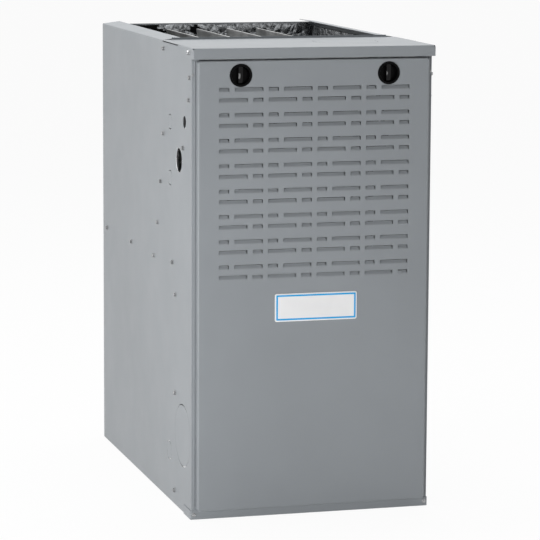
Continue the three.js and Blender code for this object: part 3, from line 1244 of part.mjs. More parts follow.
piece("control_bracket", controlBracket(), galvanised);
piece("control_board", controlBoard(), boardGreen);
piece("transformer", transformer(), darkMetal);
piece("run_capacitor", runCapacitor(), galvanised);
piece("door_switch_body", doorSwitchBody(), blackPlastic);
piece("door_switch_plunger", doorSwitchPlunger(), whitePlastic);
piece("wiring_harness", wiringHarness(), rubberBlack);

piece("blower_housing", blowerHousing(), galvanised);
piece("blower_rail_left", blowerRail(false), galvanised);
piece("blower_rail_right", blowerRail(true), galvanised);
piece("blower_wheel", blowerWheel(), galvanised);
piece("blower_shaft", blowerShaft(), brightSteel);
piece("blower_motor", blowerMotor(), darkMetal);
piece("motor_mount", motorMount(), galvanised);

const furnace = new THREE.Group();
furnace.add(cabinet);

export default furnace;
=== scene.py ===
"""A forced air gas furnace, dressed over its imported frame.

Shapes are built in the cabinet's own millimetres: x from its left side, y from the plane of its front
flanges to the back, z up from the floor. at() turns them into the frame's metres.
"""
import math

import bmesh
import bpy
import numpy as np
from mathutils import Matrix, Vector
from mathutils.geometry import delaunay_2d_cdt


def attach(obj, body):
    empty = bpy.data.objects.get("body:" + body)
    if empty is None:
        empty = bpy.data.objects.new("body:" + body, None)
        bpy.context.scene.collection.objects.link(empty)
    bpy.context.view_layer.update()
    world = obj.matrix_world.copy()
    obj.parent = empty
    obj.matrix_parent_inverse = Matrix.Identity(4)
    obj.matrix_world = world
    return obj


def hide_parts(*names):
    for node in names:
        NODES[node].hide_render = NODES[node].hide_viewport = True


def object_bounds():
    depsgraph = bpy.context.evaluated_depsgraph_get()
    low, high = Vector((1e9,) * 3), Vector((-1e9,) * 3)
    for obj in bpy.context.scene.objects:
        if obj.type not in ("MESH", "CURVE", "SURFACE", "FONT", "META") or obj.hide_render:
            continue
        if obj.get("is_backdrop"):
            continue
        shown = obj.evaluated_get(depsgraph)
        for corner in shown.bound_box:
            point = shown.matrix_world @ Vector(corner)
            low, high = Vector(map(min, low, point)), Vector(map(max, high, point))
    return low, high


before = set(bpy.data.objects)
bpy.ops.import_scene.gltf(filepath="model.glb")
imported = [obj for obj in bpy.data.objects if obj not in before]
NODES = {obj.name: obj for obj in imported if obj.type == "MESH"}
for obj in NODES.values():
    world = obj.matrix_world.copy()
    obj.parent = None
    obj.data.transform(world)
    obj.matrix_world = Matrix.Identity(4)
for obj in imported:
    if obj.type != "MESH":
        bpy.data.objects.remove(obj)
CAD_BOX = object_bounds()
TAU = 2 * math.pi

# ---- sizes, in millimetres ----

WIDTH, DEPTH, HEIGHT = 445, 732, 846
SHEET = 0.9
FRAME_Y = 357.5  # the frame's origin, behind the plane of the front flanges
BEND = 1.6  # outer radius of the cabinet's bends
SUPPORT = 0.8  # flat strip beside a bend, which keeps the shading of the flat true
CLEAR = 0.3

FLANGE = 25  # reach of the front and base flanges
MITRE = 25.4  # where the base flanges' inner edges end, from the cabinet's back and sides
COVER_FRONT, COVER_BACK = -17, 215
COVER_SIDE = 94  # how far back the skirt goes
COVER_FOOT = 826.5
COVER_BEND = 2.2
WALL_TOP = 843  # of the side walls in front of the duct flanges
DUCT_FRONT, DUCT_INNER, DUCT_TOP = 216.5, 34, 850
DUCT_SLOPE = math.radians(7.02)
# y, z and radius, on the left side
GAS_HOLE, WIRE_HOLE = (90, 639, 22.5), (50, 711, 11)
KNOCKOUTS = ((62, 141, 57.5), (165, 93, 17.5), (158, 702, 14), (158, 600, 14))
VENT = (316, 110)  # centre of the round knockout in the cover
VENT_RADIUS = 60

DOOR_LEFT, DOOR_RIGHT, DOOR_BOTTOM, DOOR_TOP = 8.5, 436.5, 16.5, 824
DOOR_FRONT, DOOR_BACK = -14.5, -0.3
DOOR_BEND = 3
DOOR_CORNER = 6
HOOKS = (100.5, 344.5)  # of the door, in slots of the rail
LOUVER_TOP = 774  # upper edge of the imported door's first row
LOUVER_PAIRS, PAIR_PITCH, ROW_STEP = 8, 45, 18.7
LOUVER_SHORT, LOUVER_LONG, LOUVER_GAP, LOUVER_REPEATS = 18.4, 52.2, 9.85, 4
LATCH_Z = 797.5
LATCHES = {"left": 86, "right": 359}
LATCH_BORE = 4.3  # radius round the latch's shaft

DECK = 444
VESTIBULE, VESTIBULE_BEND, SLOPE = 213, 640, 0.37  # below its bend the panel slopes to the back
CELL_INLET, CELL_OUTLET = 560, 800
CELL_BOTTOM, CELL_TOP, CELL_REAR = 522, 836, 676
CELL_FIRST, CELL_PITCH = 120, 62


def at(x, y, z):
    """Cabinet millimetres to the frame's metres."""
    return Vector(((x - WIDTH / 2) / 1000, (y - FRAME_Y) / 1000, z / 1000))


# ---- materials ----


def new_look(name, base, rough, metal=0.0, specular=0.5):
    look = bpy.data.materials.new(name)
    look.use_nodes = True
    tree = look.node_tree
    shader = tree.nodes["Principled BSDF"]
    shader.inputs["Base Color"].default_value = (*base, 1)
    shader.inputs["Roughness"].default_value = rough
    shader.inputs["Metallic"].default_value = metal
    shader.inputs["Specular IOR Level"].default_value = specular
    look.diffuse_color = (*base, 1)
    return look, tree, shader


def texture(tree, kind, scale, **inputs):
    place = tree.nodes.get("Texture Coordinate") or tree.nodes.new("ShaderNodeTexCoord")
    node = tree.nodes.new(kind)
    tree.links.new(place.outputs["Object"], node.inputs["Vector"])
    node.inputs["Scale"].default_value = scale
    for name, value in inputs.items():
        node.inputs[name.replace("_", " ")].default_value = value
    return node


def mix_colour(tree, factor, low, high, low_at=0.35, high_at=0.65):
    ramp = tree.nodes.new("ShaderNodeValToRGB")
    tree.links.new(factor, ramp.inputs["Fac"])
    first, last = ramp.color_ramp.elements
    first.position, first.color = low_at, (*low, 1)
    last.position, last.color = high_at, (*high, 1)
    return ramp.outputs["Color"]


def spread(tree, factor, low, high):
    node = tree.nodes.new("ShaderNodeMapRange")
    tree.links.new(factor, node.inputs["Value"])
    node.inputs["From Min"].default_value = 0.3
    node.inputs["From Max"].default_value = 0.7
    node.inputs["To Min"].default_value = low
    node.inputs["To Max"].default_value = high
    return node.outputs["Result"]


def bump(tree, shader, height, strength, distance, before=None):
    node = tree.nodes.new("ShaderNodeBump")
    node.inputs["Strength"].default_value = strength
    node.inputs["Distance"].default_value = distance
    tree.links.new(height, node.inputs["Height"])
    if before is not None:
        tree.links.new(before, node.inputs["Normal"])
    tree.links.new(node.outputs["Normal"], shader.inputs["Normal"])
    return node.outputs["Normal"]


def toned(colour, share):
    return tuple(min(1, c * share) for c in colour)


def enamel(name, base):
    """Baked enamel on sheet: faint clouds of tone, an orange peel and a fine grain."""
    rough = 0.42
    look, tree, shader = new_look(name, base, rough)
    clouds = texture(tree, "ShaderNodeTexNoise", 3.5, Detail=3, Roughness=0.6)
    colour = mix_colour(tree, clouds.outputs["Fac"], toned(base, 0.965), toned(base, 1.03))
    tree.links.new(colour, shader.inputs["Base Color"])
    haze = texture(tree, "ShaderNodeTexNoise", 14, Detail=4)
    gloss = spread(tree, haze.outputs["Fac"], rough - 0.03, rough + 0.05)
    tree.links.new(gloss, shader.inputs["Roughness"])
    peel = texture(tree, "ShaderNodeTexNoise", 620, Detail=2)
    grain = texture(tree, "ShaderNodeTexNoise", 2600, Detail=1)
    first = bump(tree, shader, peel.outputs["Fac"], 0.16, 0.0003)
    bump(tree, shader, grain.outputs["Fac"], 0.08, 0.0001, first)
    return look


def zinc(name, base):
    """Zinc coated sheet: crystals of slightly different tone and gloss."""
    rough = 0.38
    look, tree, shader = new_look(name, base, rough, metal=0.85)
    cells = texture(tree, "ShaderNodeTexVoronoi", 70, Randomness=1)
    noise = texture(tree, "ShaderNodeTexNoise", 9, Detail=5)
    split = tree.nodes.new("ShaderNodeSeparateColor")
    tree.links.new(cells.outputs["Color"], split.inputs["Color"])
    colour = mix_colour(tree, split.outputs["Red"], toned(base, 0.8), toned(base, 1.15), 0, 1)
    tree.links.new(colour, shader.inputs["Base Color"])
    gloss = spread(tree, split.outputs["Green"], rough - 0.06, rough + 0.1)
    tree.links.new(gloss, shader.inputs["Roughness"])
    bump(tree, shader, noise.outputs["Fac"], 0.12, 0.0006)
    return look


def aluminised_steel(name, base):
    """Aluminised sheet: matt, with drawing marks and a faint heat tint."""
    look, tree, shader = new_look(name, base, 0.46, metal=0.8)
    clouds = texture(tree, "ShaderNodeTexNoise", 11, Detail=6, Roughness=0.65)
    colour = mix_colour(tree, clouds.outputs["Fac"], toned(base, 0.72), toned(base, 1.2))
    tree.links.new(colour, shader.inputs["Base Color"])
    marks = texture(tree, "ShaderNodeTexNoise", 260, Detail=3)
    tree.links.new(spread(tree, clouds.outputs["Fac"], 0.38, 0.56), shader.inputs["Roughness"])
    bump(tree, shader, marks.outputs["Fac"], 0.1, 0.0004)
    return look


def foil_facing(name, base):
    """Foil facing: creases at two scales over the fibre behind it."""
    look, tree, shader = new_look(name, base, 0.26, metal=0.92)
    creases = texture(tree, "ShaderNodeTexVoronoi", 62, Randomness=1)
    creases.feature = "DISTANCE_TO_EDGE"
    fine = texture(tree, "ShaderNodeTexNoise", 75, Detail=6, Roughness=0.75, Distortion=1.6)
    colour = mix_colour(tree, fine.outputs["Fac"], toned(base, 0.22), toned(base, 1.7), 0.4, 0.64)
    tree.links.new(colour, shader.inputs["Base Color"])
    tree.links.new(spread(tree, fine.outputs["Fac"], 0.18, 0.4), shader.inputs["Roughness"])
    first = bump(tree, shader, creases.outputs["Distance"], 0.8, 0.006)
    bump(tree, shader, fine.outputs["Fac"], 0.5, 0.0018, first)
    return look


def moulded(name, base, rough=0.3, specular=0.5, vary=0.07):
    """Moulded plastic or rubber: a fine even grain and a little tone."""
    look, tree, shader = new_look(name, base, rough, specular=specular)
    tone = texture(tree, "ShaderNodeTexNoise", 30, Detail=3)
    colour = mix_colour(tree, tone.outputs["Fac"], toned(base, 1 - vary), toned(base, 1 + vary))
    tree.links.new(colour, shader.inputs["Base Color"])
    gloss = spread(tree, tone.outputs["Fac"], rough - 0.04, rough + 0.05)
    tree.links.new(gloss, shader.inputs["Roughness"])
    grain = texture(tree, "ShaderNodeTexNoise", 1500, Detail=2)
    bump(tree, shader, grain.outputs["Fac"], 0.06, 0.0001)
    return look


def rough_cast(name, base, metal, rough, scale, strength):
    """Castings, dark enamel and turned steel: grain, tone and worn gloss."""
    look, tree, shader = new_look(name, base, rough, metal=metal)
    tone = texture(tree, "ShaderNodeTexNoise", 24, Detail=5)
    colour = mix_colour(tree, tone.outputs["Fac"], toned(base, 0.82), toned(base, 1.15))
    tree.links.new(colour, shader.inputs["Base Color"])
    gloss = spread(tree, tone.outputs["Fac"], rough - 0.08, rough + 0.08)
    tree.links.new(gloss, shader.inputs["Roughness"])
    grain = texture(tree, "ShaderNodeTexNoise", scale, Detail=3)
    bump(tree, shader, grain.outputs["Fac"], strength, 0.0002)
    return look


PAINT = enamel("baked_enamel", (0.283, 0.303, 0.322))
ZINC = zinc("zinc_coated_sheet", (0.42, 0.43, 0.44))
ALUMINISED = aluminised_steel("aluminised_steel", (0.36, 0.365, 0.365))
FOIL = foil_facing("foil_facing", (0.27, 0.28, 0.29))
BLACK = moulded("glossy_black", (0.003, 0.003, 0.0033), 0.12, specular=0.17)
JET = moulded("jet_black", (0.0022, 0.0022, 0.0024), 0.3, specular=0.06)
# Painted shade: a near-black fibre laid where the back blanket lies in the left wall's shadow
PAINTED_SHADE = moulded("painted_shade_black", (0.006, 0.006, 0.0065), 0.9, specular=0.1, vary=0.5)
WHITE = moulded("white_plate", (0.93, 0.93, 0.935), 0.4, vary=0.012)
CYAN = moulded("cyan_border", (0.0, 0.39, 0.84), 0.4, vary=0.02)
DARK = rough_cast("dark_enamel", (0.045, 0.048, 0.052), 0.3, 0.42, 900, 0.15)
CAST = rough_cast("cast_aluminium", (0.3, 0.305, 0.31), 0.75, 0.5, 900, 0.4)
BOARD = moulded("green_board", (0.02, 0.11, 0.05), 0.38)
RUBBER = moulded("matt_black", (0.015, 0.015, 0.016), 0.62)
SCREW = rough_cast("zinc_screw", (0.32, 0.325, 0.33), 0.85, 0.34, 1200, 0.1)
STEEL = rough_cast("bright_steel", (0.6, 0.61, 0.62), 0.95, 0.26, 1200, 0.1)
CERAMIC = moulded("ceramic", (0.78, 0.75, 0.68), 0.6)
RED = moulded("red_button", (0.45, 0.03, 0.02), 0.3)

# ---- shapes ----

TIP = 0.002  # radius of a turned solid's end, which mesh_of() merges into a point


def quarter(steps):
    """The angles of a quarter turn."""
    return [i * math.pi / (2 * steps) for i in range(steps + 1)]


def circle(a, b, radius, sides, start=0.0):
    angles = [start + TAU * i / sides for i in range(sides)]
    return [(a + radius * math.cos(t), b + radius * math.sin(t)) for t in angles]


def rounded(a0, a1, b0, b1, radius, steps=5):
    """Corner by corner, so that outlines of different insets have matching points."""
    points = []
    for k, (a, b) in enumerate(((a1, b1), (a0, b1), (a0, b0), (a1, b0))):
        ca = a - radius if a == a1 else a + radius
        cb = b - radius if b == b1 else b + radius
        for i in range(steps + 1):
            angle = (k + i / steps) * math.pi / 2
            points.append((ca + radius * math.cos(angle), cb + radius * math.sin(angle)))
    return points


def arc_slit(y, z, radius, width=0.5, web=2.0, wide=1.3):
    """The two halves of a knockout's slit, as outlines; it opens up at its top and bottom."""
    halves = []
    for start in (0, math.pi):
        gap = math.asin(web / radius)
        angles = np.linspace(start + gap, start + math.pi - gap, 26)
        outer = [(y + radius * math.cos(t), z + radius * math.sin(t)) for t in angles]
        within = [radius - width - wide * math.sin(t) ** 8 for t in angles]
        inner = [(y + r * math.cos(t), z + r * math.sin(t)) for t, r in zip(angles, within)]
        halves.append(outer + inner[::-1])
    return halves


def smooth_path(points, steps=10):
    """A centripetal curve through the points."""
    points = [Vector(p) for p in points]
    ends = [2 * points[0] - points[1], *points, 2 * points[-1] - points[-2]]
    path = []
    for p0, p1, p2, p3 in zip(ends, ends[1:], ends[2:], ends[3:]):
        t0 = 0
        t1 = t0 + math.sqrt((p1 - p0).length)
        t2 = t1 + math.sqrt((p2 - p1).length)
        t3 = t2 + math.sqrt((p3 - p2).length)
        for i in range(steps):
            t = t1 + (t2 - t1) * i / steps
            a1 = p0 * ((t1 - t) / (t1 - t0)) + p1 * ((t - t0) / (t1 - t0))
            a2 = p1 * ((t2 - t) / (t2 - t1)) + p2 * ((t - t1) / (t2 - t1))
            a3 = p2 * ((t3 - t) / (t3 - t2)) + p3 * ((t - t2) / (t3 - t2))
            b1 = a1 * ((t2 - t) / (t2 - t0)) + a2 * ((t - t0) / (t2 - t0))
            b2 = a2 * ((t3 - t) / (t3 - t1)) + a3 * ((t - t1) / (t3 - t1))
            path.append(b1 * ((t2 - t) / (t2 - t1)) + b2 * ((t - t1) / (t2 - t1)))
    path.append(points[-1])
    return path


class Shape:
    """A mesh in the making, in cabinet millimetres; a face's tag is its material slot."""

    def __init__(self):
        self.bm = bmesh.new()

    def face(self, verts, tag=0):
        made = self.bm.faces.new(verts)
        made.material_index = tag
        return made

    def grid(self, rows, closed=False, tag=0):
        """Rows of points, joined to each other; closed rows are rings."""
        made = [[self.bm.verts.new(p) for p in row] for row in rows]
        for a, b in zip(made, made[1:]):
            for i in range(len(a) if closed else len(a) - 1):
                j = (i + 1) % len(a)
                self.face((a[i], a[j], b[j], b[i]), tag)
        return made

    def loft(self, rings, tag=0):
        """Closed rings joined in turn; the first and last are closed by faces."""
        made = self.grid(rings, True, tag)
        self.face(made[0][::-1], tag)
        self.face(made[-1], tag)

    def flat(self, outline, holes, place):
        """The flat face inside an outline and outside its holes; place(a, b) gives a point."""
        points, edges = [], []
        for loop in (outline, *holes):
            first = len(points)
            points += loop
            edges += [(first + i, first + (i + 1) % len(loop)) for i in range(len(loop))]
        verts, _, faces, *_ = delaunay_2d_cdt([Vector(p) for p in points], edges, [], 1, 1e-5)
        flat = np.array([v[:] for v in verts])
        middles = flat[np.array(faces)].mean(axis=1)
        starts = np.array([points[a] for a, _ in edges])
        ends = np.array([points[b] for _, b in edges])
        above = (starts[:, 1] > middles[:, 1:]) != (ends[:, 1] > middles[:, 1:])
        rise = np.where(ends[:, 1] == starts[:, 1], 1, ends[:, 1] - starts[:, 1])
        cross = starts[:, 0] + (middles[:, 1:] - starts[:, 1]) * (ends[:, 0] - starts[:, 0]) / rise
        inside = (above & (cross > middles[:, :1])).sum(axis=1) % 2 == 1
        made = [self.bm.verts.new(place(*v)) for v in flat]
        for corners, kept in zip(faces, inside):
            if kept:
                self.face([made[i] for i in corners])

    def turned(self, centre, axis, profile, sides=48, tag=0, closed=True):
        """A profile of (radius, distance along the axis) points turned about the axis."""
        x, y, z = centre
        rings = []
        for radius, along in profile:
            ring = []
            for a, b in circle(0, 0, radius, sides):
                ring.append({"x": (x + along, y + a, z + b), "y": (x + a, y + along, z + b),
                             "z": (x + a, y + b, z + along)}[axis])
            rings.append(ring)
        if closed:
            rings.append(rings[0])
        self.grid(rings, True, tag)

    def rod(self, centre, axis, radius, low, high):
        """A solid rod with broken edges, by its ends' distances from the centre."""
        edge = min(0.6, radius / 4, (high - low) / 4)
        self.turned(centre, axis, [
            (TIP, low), (radius - edge, low), (radius - 0.3 * edge, low + 0.3 * edge), (radius, low + edge),
            (radius, high - edge), (radius - 0.3 * edge, high - 0.3 * edge), (radius - edge, high), (TIP, high),
        ], 32, closed=False)

    def block(self, xs, ys, zs):
        (x0, x1), (y0, y1) = xs, ys
        self.loft([[(x0, y0, z), (x1, y0, z), (x1, y1, z), (x0, y1, z)] for z in zs])

    def tube(self, path, radius, sides=18):
        side = (path[1] - path[0]).orthogonal().normalized()
        rings = []
        for i, p in enumerate(path):
            ahead = (path[min(i + 1, len(path) - 1)] - path[max(i - 1, 0)]).normalized()
            side = (side - ahead * side.dot(ahead)).normalized()
            up = ahead.cross(side)
            rings.append([p + radius * (side * math.cos(a) + up * math.sin(a))
                          for a in (TAU * k / sides for k in range(sides))])
        self.loft(rings)

    def screw(self, centre, out, turn, size=1.0):
        """A hexagon washer head screw, standing out along a direction."""
        out = Vector(out)
        u = out.orthogonal().normalized()
        v = out.cross(u)
        c = Vector(centre)

        def ring(radius, height, sides, start=0.0):
            flat = circle(0, 0, radius, sides, start)
            return [c + out * height * size + (u * a + v * b) * size for a, b in flat]

        # (radius, height)
        washer = [(4.7, -0.2), (4.7, 0.55), (4.45, 0.9), (3.9, 1.05), (3, 1.05)]
        self.loft([ring(r, h, 24) for r, h in washer])
        head = [(3.6, 0.9), (3.6, 3.7), (3.3, 4.15), (2.5, 4.25), (2.1, 3.75), (0.6, 3.55)]
        self.loft([ring(r, h, 6, turn) for r, h in head])


def mesh_of(shape, name, looks, thick=0.0, bevel=0.0, angle=35):
    """Thickens a sheet or breaks a solid's edges, and marks its sharp edges."""
    bm = shape.bm
    bmesh.ops.remove_doubles(bm, verts=bm.verts, dist=0.004)
    bmesh.ops.recalc_face_normals(bm, faces=bm.faces)
    if thick:
        middle = sum((v.co for v in bm.verts), Vector()) / len(bm.verts)
        outwards = sum(f.calc_area() * f.normal.dot(f.calc_center_median() - middle) for f in bm.faces)
        if outwards < 0:
            bmesh.ops.reverse_faces(bm, faces=bm.faces)
        for e in bm.edges:
            if len({f.material_index for f in e.link_faces}) > 1:
                e.smooth = False
    for v in bm.verts:
        v.co = at(*v.co)
    mesh = bpy.data.meshes.new(name)
    bm.to_mesh(mesh)
    bm.free()
    piece = bpy.data.objects.new(name, mesh)
    bpy.context.scene.collection.objects.link(piece)
    for look in looks:
        mesh.materials.append(look)
    if thick:
        solid = piece.modifiers.new("thickness", "SOLIDIFY")
        solid.thickness = thick / 1000
        solid.offset = -1
        solid.use_even_offset = True
    if bevel:
        edges = piece.modifiers.new("edges", "BEVEL")
        edges.width = bevel / 1000
        edges.segments = 2
        edges.limit_method = "ANGLE"
        edges.angle_limit = math.radians(angle)
    evaluated = piece.evaluated_get(bpy.context.evaluated_depsgraph_get())
    final = bpy.data.meshes.new_from_object(evaluated)
    bpy.data.objects.remove(piece)
    bpy.data.meshes.remove(mesh)
    bm = bmesh.new()
    bm.from_mesh(final)
    limit = math.radians(angle)
    for f in bm.faces:
        f.smooth = True
    for e in bm.edges:
        if len(e.link_faces) == 2 and e.calc_face_angle(0) > limit:
            e.smooth = False
    bm.to_mesh(final)
    bm.free()
    return final


def add(name, body, nodes, looks, sheet=None, solid=None, thick=SHEET, bevel=0.4, angle=35):
    """A piece from a sheet, a solid or both, riding on a body in place of the nodes."""
    parts = []
    if sheet is not None:
        parts.append(mesh_of(sheet, name, looks, thick=thick, angle=angle))
    if solid is not None:
        parts.append(mesh_of(solid, name, looks, bevel=bevel, angle=angle))
    bm = bmesh.new()
    for part in parts:
        bm.from_mesh(part)
    mesh = bpy.data.meshes.new(name)
    bm.to_mesh(mesh)
    bm.free()
    for look in looks:
        mesh.materials.append(look)
    piece = bpy.data.objects.new(name, mesh)
    bpy.context.scene.collection.objects.link(piece)
    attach(piece, body)
    if nodes:
        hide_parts(*nodes)
    return piece


# ---- the cabinet ----


def casing():
    sheet = Shape()
    slits = [slit for place in KNOCKOUTS for slit in arc_slit(*place)]
    holes = [circle(*GAS_HOLE, 48), circle(*WIRE_HOLE, 32), *slits]
    base = 1.2  # radius of the bend into the base flange
    relief = 3.5  # where the base flange starts, beside the corners
    near, far = BEND + SUPPORT, DEPTH - BEND - SUPPORT
    top = HEIGHT - BEND
    bend = quarter(5)
    for mirrored in (False, True):
        def place(x, y, z, mirrored=mirrored):
            return (WIDTH - x if mirrored else x, y, z)

        outline = [(near, 0), (relief, 0), (relief, base), (DEPTH - relief, base), (far, base), (far, top),
                   (DUCT_FRONT, top), (DUCT_FRONT, WALL_TOP), (near, WALL_TOP)]
        sheet.flat(outline, [] if mirrored else holes, lambda y, z: place(0, y, z))
        front = [place(0, near, z) for z in (0, WALL_TOP)]
        corner = [[place(BEND - BEND * math.cos(t), BEND - BEND * math.sin(t), z) for z in (0, WALL_TOP)]
                  for t in bend]
        flange = [[place(x, 0, z) for z in (0, WALL_TOP)] for x in (BEND + SUPPORT, FLANGE)]
        sheet.grid([front, *corner, *flange])
        back = [[place(0, far, z) for z in (base, top)]]
        back += [[place(BEND - BEND * math.cos(t), DEPTH - BEND + BEND * math.sin(t), z) for z in (base, top)]
                 for t in bend]
        back.append([place(BEND + SUPPORT, DEPTH, z) for z in (base, top)])
        sheet.grid(back)
        rise = [DUCT_SLOPE + (math.pi / 2 - DUCT_SLOPE) * (5 - i) / 5 for i in range(6)]
        duct = [(BEND - BEND * math.sin(t), top + BEND * math.cos(t)) for t in rise]
        duct += [(BEND + SUPPORT, top + BEND * math.cos(DUCT_SLOPE) + 0.13), (DUCT_INNER, DUCT_TOP)]
        sheet.grid([[place(x, y, z) for y in (DUCT_FRONT, far)] for x, z in duct])
        # a bead down the front flange, beside the door
        rib = [(4.7, 0), (4.8, -0.5), (5.1, -1), (5.6, -1.3), (6.1, -1.3), (6.6, -1), (6.9, -0.5), (7, 0)]
        sheet.grid([[place(x, y, z) for z in (17, 823)] for x, y in rib])
        foot = [(base - base * math.cos(t), base - base * math.sin(t)) for t in bend] + [(base + 1, 0)]
        rows = [[place(x, y, z) for y in (relief, DEPTH - relief)] for x, z in foot]
        rows.append([place(FLANGE, relief, 0), place(FLANGE, DEPTH - MITRE, 0)])
        sheet.grid(rows)
    middle = [BEND + SUPPORT, WIDTH - BEND - SUPPORT]
    sheet.grid([[(x, DEPTH, z) for x in middle] for z in (base, top)])
    foot = [(DEPTH - base + base * math.cos(t), base - base * math.sin(t)) for t in bend]
    rows = [[(x, y, z) for x in middle] for y, z in foot + [(DEPTH - base - 1, 0)]]
    rows.append([(MITRE, DEPTH - FLANGE, 0), (WIDTH - MITRE, DEPTH - FLANGE, 0)])
    sheet.grid(rows)
    collar = Shape()  # bright bushing of the gas entry
    y, z, radius = GAS_HOLE
    collar.turned((0, y, z), "x", [
        (radius + 0.05, -0.1), (radius + 0.05, 4), (radius - 0.8, 4), (radius - 0.8, 0.2), (radius - 0.5, -0.1),
    ], 56, tag=1)
    add("cabinet_wrap", "casing", ["casing_wrap"], [PAINT, STEEL], sheet, collar, bevel=0.08)


def cover():
    sheet = Shape()
    left, right = -CLEAR - SHEET, WIDTH + CLEAR + SHEET
    r, notch = COVER_BEND, 2.8
    lip_foot, lip_bend = COVER_BACK - 0.2, 1.4
    lip_start = lip_foot - lip_bend - SUPPORT
    x0, x1, y0 = left + r + SUPPORT, right - r - SUPPORT, COVER_FRONT + r + SUPPORT
    lip0, lip1 = 17, WIDTH - 17
    outline = [(x0, y0), (x1, y0), (x1, COVER_SIDE), (right, COVER_SIDE), (right, lip_foot), (lip1, lip_foot),
               (lip1, lip_start), (lip0, lip_start), (lip0, lip_foot), (left, lip_foot), (left, COVER_SIDE),
               (x0, COVER_SIDE)]
    slits = arc_slit(0, 0, VENT_RADIUS, 0.8, 1.6, 0)
    slits = [[(VENT[0] + b, VENT[1] + a) for a, b in slit] for slit in slits]
    dots = [circle(VENT[0] + side * (VENT_RADIUS - 2.6), VENT[1], 1.5, 12) for side in (-1, 1)]
    sheet.flat(outline, [*slits, *dots], lambda x, y: (x, y, HEIGHT))
    bend = quarter(6)
    # (how far below the top, how far in from the face)
    rows = [(r - r * math.cos(t), r - r * math.sin(t)) for t in bend]
    rows += [(r + SUPPORT, 0), (HEIGHT - COVER_FOOT, 0)]
    fronts = [x0, x1]
    sheet.grid([[(x, y0, HEIGHT) for x in fronts]]
               + [[(x, COVER_FRONT + inn, HEIGHT - down) for x in fronts] for down, inn in rows])
    for mirrored in (False, True):
        def place(x, y, z, mirrored=mirrored):
            return (left + right - x if mirrored else x, y, z)

        sides = [y0, COVER_SIDE]
        sheet.grid([[place(x0, y, HEIGHT) for y in sides]]
                   + [[place(left + inn, y, HEIGHT - down) for y in sides] for down, inn in rows])
        turn = [(r - r * math.sin(t), r - r * math.cos(t)) for t in bend]
        turn = [(r + SUPPORT, 0), *turn, (0, r + SUPPORT)]
        heights = (COVER_FOOT, HEIGHT - notch)
        sheet.grid([[place(left + a, COVER_FRONT + b, z) for z in heights] for a, b in turn])
    lip = [(lip_start, HEIGHT)]
    lip += [(lip_foot - lip_bend + lip_bend * math.sin(t), HEIGHT + lip_bend - lip_bend * math.cos(t))
            for t in bend]
    lip.append((lip_foot, DUCT_TOP))
    sheet.grid([[(x, y, z) for x in (lip0, lip1)] for y, z in lip])
    add("top_cover", "casing", ["top_front_cover"], [PAINT], sheet)


def rail():
    sheet = Shape()
    out, r, top = -CLEAR - SHEET, 1.8, 16.2
    half = [(out, 50), (out, out + r + SUPPORT)]
    half += [(out + r - r * math.cos(t), out + r - r * math.sin(t)) for t in quarter(6)]
    half.append((out + r + SUPPORT, out))
    plan = half + [(WIDTH - x, y) for x, y in half[::-1]]
    sheet.grid([[(x, y, z) for x, y in plan] for z in (0.05, top)])
    solid = Shape()
    near, far = 25.3, WIDTH - 25.3
    slots = [[(x - 10.6, 5.5), (x + 10.6, 5.5), (x + 10.6, 12.3), (x - 10.6, 12.3)] for x in HOOKS]
    ledge = [(near, out + 0.5), (far, out + 0.5), (far, 20), (near, 20)]
    for z0, z1 in ((0.15, 1.05), (15.15, 16.05)):
        cut = slots if z0 > 1 else []  # only the upper ledge takes the door's hooks
        for level in (z0, z1):
            solid.flat(ledge, cut, lambda x, y, z=level: (x, y, z))
        for loop in (ledge, *cut):
            solid.grid([[(x, y, z) for x, y in loop] for z in (z0, z1)], True)
    add("front_rail", "casing", ["bottom_front_rail"], [PAINT], sheet, solid, bevel=0.15)


# y and z, the same on both sides
SIDE_SCREWS = ((205.5, 831), (9, 793), (15, 753), (207.5, 676), (57, 664), (228.5, 585), (253.5, 505.5),
               (692, 437.5), (474, 439), (283.5, 439), (136.5, 447.5), (115, 391), (117.5, 209.5), (121.5, 27))


def fasteners():
    heads = Shape()
    for i, (y, z) in enumerate(SIDE_SCREWS):
        heads.screw((0, y, z), (-1, 0, 0), 0.37 * i)
        heads.screw((WIDTH, y, z), (1, 0, 0), 0.53 * i)
    for side, x in ((-1, -1.2), (1, WIDTH + 1.2)):
        heads.screw((x, 12, 837), (side, 0, 0), 0.2)
    for mirrored in (False, True):
        for x, y, z, size in ((2.9, 0, 798, 0.5), (4.9, -1.2, 8.6, 0.8)):
            heads.screw((WIDTH - x if mirrored else x, y, z), (0, -1, 0), 0.3, size)
    add("screws", "casing", [], [SCREW], solid=heads, bevel=0.12, angle=25)


# ---- the door ----


def louvers():
    """Every louver's left edge, lower edge and width; short and long ones take turns."""
    row_width = LOUVER_REPEATS * (LOUVER_SHORT + LOUVER_LONG) + (2 * LOUVER_REPEATS - 1) * LOUVER_GAP
    for pair in range(LOUVER_PAIRS):
        for row in (0, 1):
            x = (WIDTH - row_width) / 2
            z = LOUVER_TOP - 6.2 - pair * PAIR_PITCH - row * ROW_STEP
            for i in range(2 * LOUVER_REPEATS):
                width = LOUVER_SHORT if (i + row) % 2 == 0 else LOUVER_LONG
                yield x, z, width
                x += width + LOUVER_GAP


